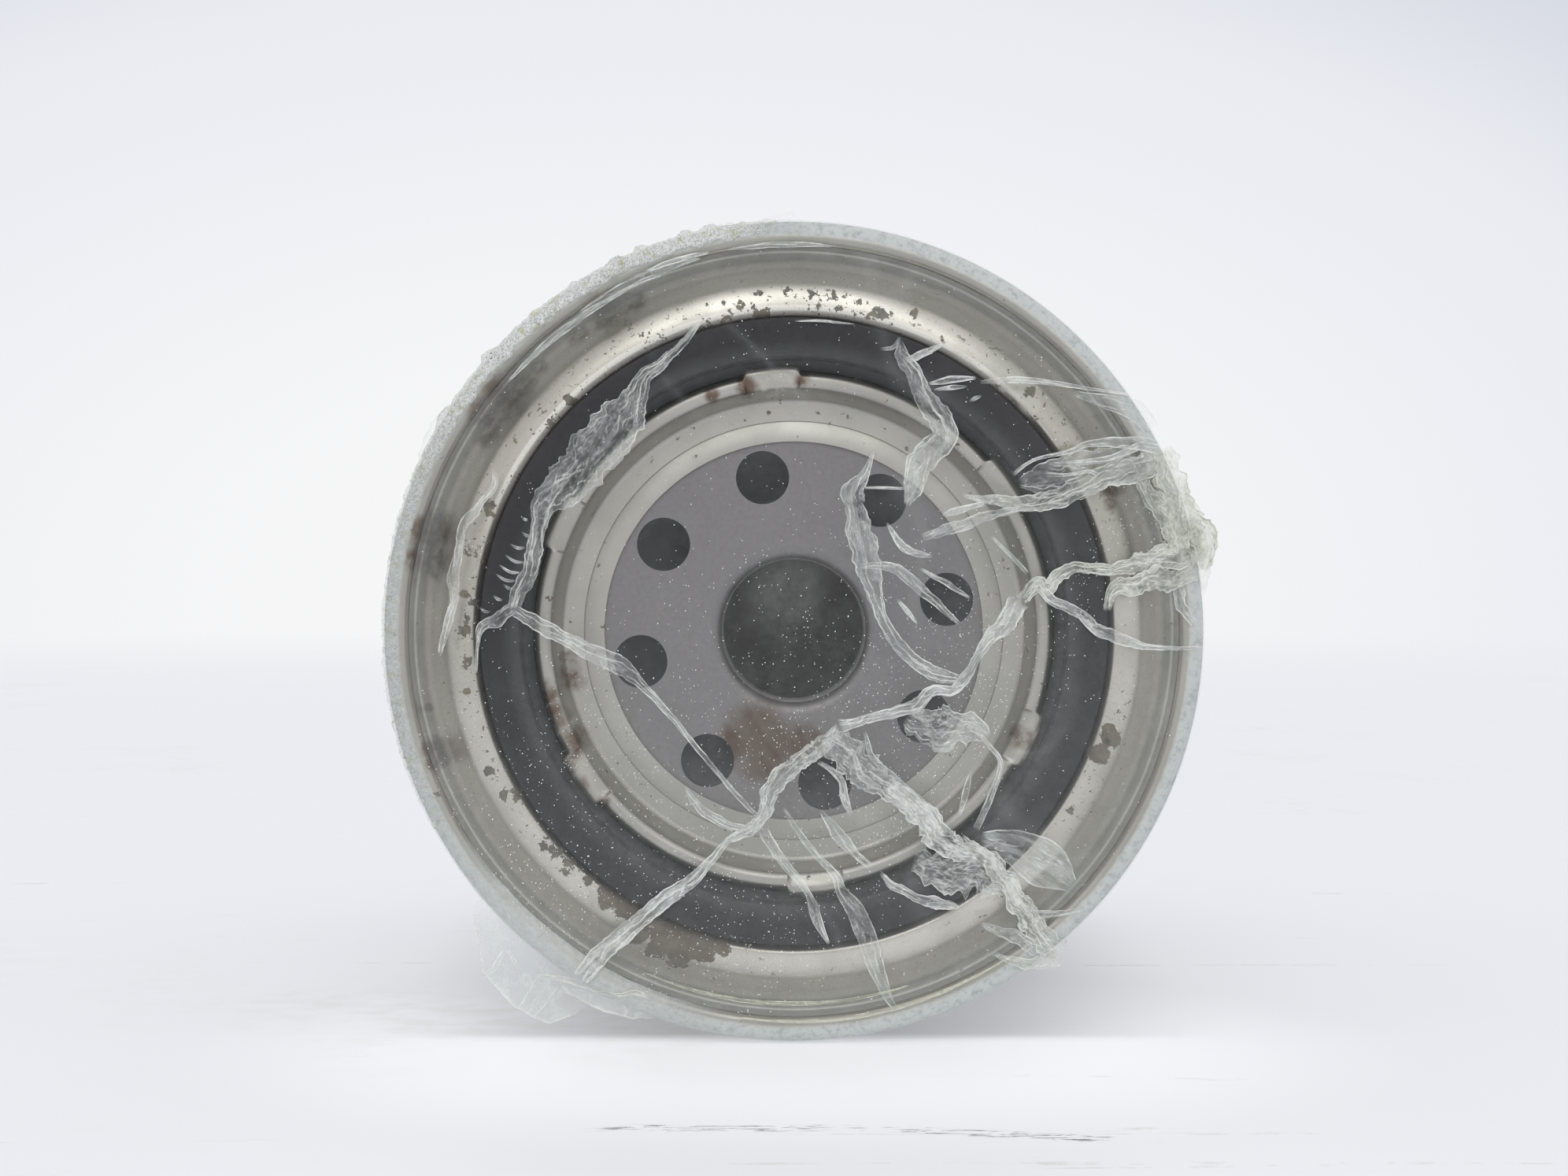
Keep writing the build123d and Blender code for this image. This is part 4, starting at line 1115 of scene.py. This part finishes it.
def makeFlap(name, inner, outer, back=0.0, mist=0.16, tint=0.0, rows=18, columns=70, buckle=0.9, hem=0.55):
    # loose film from the inner line to the outer one, buckled, with a bright hem at its free edge
    nearLine, farLine = alongLine(inner, columns), alongLine(outer, columns)
    points, creases, mists = [], [], []
    for i in range(columns):
        for j in range(rows):
            u, v = i / (columns - 1), j / (rows - 1)
            x = nearLine[i][0] + (farLine[i][0] - nearLine[i][0]) * v
            z = nearLine[i][1] + (farLine[i][1] - nearLine[i][1]) * v
            x += 0.25 * v * wave(u * 14, v * 2, 31)
            z += 0.25 * v * wave(u * 14, v * 2, 37)
            fall = buckle * v * (wave(x * 0.3, z * 0.3, 41) + 0.12 * wave(x * 0.8, z * 0.8, 43))
            points.append((x, filmFront(math.hypot(x, z)) - 0.12 + back * v + fall, z))
            pleat = creased(wave(x * 0.17, z * 0.17, 47), 14)
            end = min(u, 1 - u) * 12
            edge = max(0.0, 1 - (1 - v) * (rows - 1) / 1.6) * min(1.0, end)
            creases.append(max(hem * edge, 0.2 * pleat * pleat * min(1.0, v * 4)))
            mists.append(mist * min(1.0, end + 0.2))
    flap = newPiece(name, points, gridFaces(columns, rows), filmGathered, 180)
    flow = [(x * 0.05, z * 0.05, 0.3) for x, y, z in points]
    asFilm(flap, flow, crease=creases, mist=mists, tint=[tint] * len(points))


def makeCrustMaterial():
    shades = {"body": rgb(184, 188, 185), "pale": rgb(226, 228, 226), "yellow": rgb(184, 182, 142),
        "dirt": rgb(92, 88, 76)}
    material, shader, place = newMaterial("filmCrust")
    flat = stretched(place, 1 / mm, 1 / mm, 1 / mm)
    fine = grain(flat, 4.5, 5, 0.7)
    shade = mixed(spread(fine, 0.35, 0.6), shades["body"], shades["pale"])
    shade = mixed(spread(grain(flat, 0.7, 4, 0.6), 0.52, 0.68, 0.0, 0.75), shade, shades["yellow"])
    shade = mixed(spread(grain(flat, 2.6, 2, 0.5), 0.66, 0.74, 0.0, 0.85), shade, shades["dirt"])
    cover = stored(shader, "mist") * spread(fine, 0.25, 0.6, 0.6, 1.0)
    wire(shader, Base_Color=shade, Alpha=cover, Roughness=0.5)
    bumped(shader, fine, 0.35, 0.0002)
    return material


def makeFray():
    # old film has gone to a pale crust on the upper left of the rim, with a ragged edge
    setting = {"start": 84, "end": 222, "thick": 0.34, "columns": 1100, "rows": 15, "lift": 0.16}
    material = makeCrustMaterial()
    points, mists = [], []
    for i in range(setting["columns"] + 1):
        degrees = setting["start"] + (setting["end"] - setting["start"]) * i / setting["columns"]
        a = math.radians(degrees)
        c, d = math.cos(a), math.sin(a)
        amount = ease(84, 100, degrees) * ease(222, 196, degrees)
        heavy = ease(88, 100, degrees) * ease(172, 140, degrees)
        for j in range(setting["rows"]):
            v = j / (setting["rows"] - 1)
            swing = -0.45 + v * 2.1  # from inside the roll's top to the rim's side
            grit = 0.7 * abs(wave(c * 55, d * 55, v * 3)) + 0.45 * abs(wave(c * 160, d * 160, v * 9))
            lump = ease(0.05, 0.5, wave(c * 24, d * 24, v * 1.5 + 9))
            out = setting["thick"] * amount * (grit + (0.4 + 1.1 * heavy) * lump) + rollR + setting["lift"]
            radius = rollMiddle + out * math.sin(swing)
            points.append((radius * c, rimTop + rollR - out * math.cos(swing), radius * d))
            torn = ease(0.02, 0.16, v + 0.12 * wave(c * 40, d * 40, 77)) * ease(1.0, 0.86, v)
            mists.append(amount * torn * (0.45 + 0.5 * heavy))
    faces = gridFaces(setting["columns"] + 1, setting["rows"])
    asFilm(newPiece("film_fray", points, faces, material, 180), mist=mists)


def makeFlakes():
    # curled scraps of film on the frayed rim, and fine hairs that stand out from it
    random.seed(23)
    setting = {"scraps": 210, "hairs": 150, "hairWidth": 0.09, "mist": 0.3, "edge": 0.8, "body": 0.2}
    points, faces, creases, tints = [], [], [], []

    def scrap(degrees, radius, back, length, width, lean, curl):
        a = math.radians(degrees)
        outward, around = Vector((math.cos(a), 0, math.sin(a))), Vector((-math.sin(a), 0, math.cos(a)))
        along = around * math.cos(lean) + outward * math.sin(lean)
        across = (outward * math.cos(lean) - around * math.sin(lean)) * 0.75 + Vector((0, -0.66, 0))
        start = outward * radius + Vector((0, back, 0))
        base = len(points)
        for i in range(5):
            for j in range(3):
                u, v = i / 4, j / 2
                half = width * (math.sin(math.pi * (0.12 + 0.8 * u)) * (v - 0.5))
                bend = curl * math.sin(math.pi * u) * length
                point = start + along * (u - 0.5) * length + across * half
                points.append(tuple(point + Vector((0, -bend, 0)) + outward * bend * 0.5))
                creases.append(setting["body"] if j == 1 else setting["edge"])
                tints.append(random.random() ** 3)
        faces.extend(tuple(base + k for k in face) for face in gridFaces(5, 3))
    for k in range(setting["scraps"]):
        degrees = 92 + 122 * random.random() ** 1.25
        heavy = 1 if degrees < 165 else 0.6
        back = random.uniform(0.9, 3.4)
        radius = rimR + random.uniform(-0.9, 0.15) * (1.4 - back * 0.3)
        length, width = random.uniform(0.25, 1.5) * heavy, random.uniform(0.12, 0.6)
        scrap(degrees, radius, back, length, width, random.uniform(-0.5, 0.5), random.uniform(-0.15, 0.3))
    for k in range(setting["hairs"]):
        degrees = random.choice((random.uniform(150, 222), random.uniform(88, 222)))
        radius, back = rimR - 0.1 + random.uniform(-0.4, 0.25), random.uniform(1.2, 3.4)
        length, lean, curl = random.uniform(0.4, 1.3), random.uniform(0.5, 1.6), random.uniform(-0.2, 0.2)
        scrap(degrees, radius, back, length, setting["hairWidth"], lean, curl)
    flakes = newPiece("film_flakes", points, faces, filmGathered, 180)
    flow = [(x, z, y) for x, y, z in points]
    asFilm(flakes, flow, crease=creases, mist=[setting["mist"]] * len(points), tint=tints)


# loose film at the rim: how it hangs, the arc that it starts from as (radius, start, end), and its free
# edge as (x, z)
flaps = {
    "ear": (dict(back=1.0, mist=0.5, rows=30), (47.3, 219, 243), [(-38.3, -33.6), (-37.5, -37),
        (-36.9, -40.7), (-34.6, -43.3), (-32.7, -45), (-31.1, -45.8), (-29.1, -46.7), (-26.7, -45.8),
        (-24.2, -44.4)]),
    "skirt": (dict(back=0.6, mist=0.8, tint=0.12), (47.2, 234, 259), [(-28.4, -41.0), (-27.0, -42.9),
        (-24.5, -44.3), (-22.4, -45.2), (-18.8, -46.1), (-16.3, -45.8), (-14.2, -46.5), (-11, -47.4)]),
    "flap_left": (dict(back=0.8, mist=0.2, rows=10, columns=40, buckle=0.3), (47.8, 145, 157), [
        (-40.6, 27.2), (-41.8, 26.2), (-42.9, 24.9), (-43.9, 23), (-44.5, 21.2), (-44.6, 19.3)]),
    "flap_top": (dict(back=0.9, mist=0.18, rows=10, columns=40, buckle=0.3), (47.8, 88.5, 96), [
        (1.2, 48.7), (0.2, 49.3), (-0.3, 49.9), (-1.7, 49.4), (-3.4, 49), (-5.2, 48.5)]),
    "flap_right": (dict(back=1.2, mist=0.42, tint=0.3, rows=12, columns=50, buckle=0.6), (47.6, 5, 20), [
        (48.9, 4.4), (49.6, 7.6), (49.9, 10.4), (49.3, 12.6), (47.6, 15.6), (45.9, 17.4)]),
}
# the creases of the ear and the skirt, given as the folds are
earFolds = {
    "crease_ear_1": (dict(strands=1, mist=0.5), [(-34.1, -37.4, 0.3), (-34.7, -38.5, 0.5),
        (-35.4, -39.9, 0.7), (-36.8, -40.8, 0.3)]),
    "crease_ear_2": (dict(strands=1, mist=0.2), [(-37.9, -34.4, 0.3), (-37.3, -36.5, 0.3),
        (-37.1, -38.2, 0.3)]),
    "crease_ear_3": (dict(strands=1, mist=0.3), [(-34.1, -37.4, 0.3), (-33.2, -38.8, 0.4),
        (-32.4, -40.3, 0.3)]),
    "fold_ear": (dict(strands=2, mist=0.3, rough=0.15), [(-28.9, -41.1, 2.8), (-30.3, -43.2, 2.6),
        (-31.8, -45.4, 2.2)]),
    "hem_ear": (dict(strands=2, mist=0.5, tint=0.3, rough=0.3), [(-30.1, -40.8, 0.4), (-27.3, -41.2, 0.7),
        (-24.7, -42, 0.7), (-22.7, -42.6, 0.5), (-20.3, -43, 0.6), (-18.7, -42.6, 0.7),
        (-16.8, -43.4, 0.4)]),
}
for number, (name, (gathering, route)) in enumerate(folds.items()):
    makeFold("film_" + name, route, seed=number * 1.7 + 0.3, **gathering)
makeFilmFace()
filmSleeve = makeFilmSleeve()
makeHatch()
makeFray()
makeFlakes()
for name, (hanging, arc, edge) in flaps.items():
    makeFlap("film_" + name, rimArc(*arc), edge, **hanging)
for name, (gathering, route) in earFolds.items():
    makeFold("film_" + name, route, seed=45 + len(name), **gathering)
print("film made")


def makeDustMaterial():
    material, shader, place = newMaterial("dustSpecksWithPaintedGlint")
    shade = mixed(grain(place, 900, 2), rgb(240, 240, 236), rgb(252, 252, 250))
    # the specks glow a little, a painted glint
    wire(shader, Base_Color=shade, Roughness=0.7, Emission_Color=shade)
    shader.inputs["Emission Strength"].default_value = 0.22
    return material


def makeDust():
    # pale six-sided specks lying on the film, denser towards the lower right
    setting = {"count": 3400, "small": 0.036, "large": 0.084, "within": 46, "above": 0.06, "sides": 6}
    random.seed(5)
    points, faces = [], []
    sides = setting["sides"]
    while len(points) < setting["count"] * (sides + 2):
        radius, a = setting["within"] * math.sqrt(random.random()), random.uniform(0, 2 * math.pi)
        x, z = radius * math.cos(a), radius * math.sin(a)
        amount = 0.12 + 0.88 * ease(20, -14, z - 0.35 * x)
        amount *= 1 - 0.85 * ease(24, 32, 0.75 * x - 0.66 * z)
        amount *= 0.6 + 0.8 * wave(x * 0.12, z * 0.12, 91)
        if random.random() > amount:
            continue
        size = setting["small"] + (setting["large"] - setting["small"]) * random.random() ** 1.6
        y = filmFront(radius) - setting["above"]
        turnBy = random.uniform(0, math.pi)
        base = len(points)
        for k in range(sides):
            b = turnBy + k * math.tau / sides
            reach = size * random.uniform(0.8, 1.1)
            points.append((x + reach * math.cos(b), y, z + reach * math.sin(b)))
        points += [(x, y - size * 0.4, z), (x, y + size * 0.3, z)]
        for k in range(sides):
            n = (k + 1) % sides
            faces += [(base + k, base + n, base + sides), (base + n, base + k, base + sides + 1)]
    asFilm(newPiece("film_dust", points, faces, makeDustMaterial(), 180))


makeDust()
filmPieces = [piece for piece in bpy.data.objects if piece.name.startswith("film_") and piece != filmSleeve]
print("dust made")


# each spring: its joint, its fixed end and the joint's travel, in metres
springs = {
    "support_spring": ("element_float", 0.1434, 0.0015),
    "bypass_spring": ("bypass_open", 0.0986, 0.004),
}


def makeSpring(name, joint, fixedEnd, travel):
    # the modelled spring as a piece of its own, on the body that holds the part
    node = nodes[name]
    low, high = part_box(name)
    length = high[1] - low[1]
    spring = bpy.data.objects.new(name + "_wire", node.data.copy())
    scene.collection.objects.link(spring)
    spring.matrix_world = node.matrix_world.copy()
    bodies = frame["record"]["behaviour"]["bodies"]
    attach(spring, next(body for body, members in bodies.items() if name in members))
    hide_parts(name)
    (length - travel) / length
    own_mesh(spring)


for name, values in springs.items():
    makeSpring(name, *values)
print("springs made")
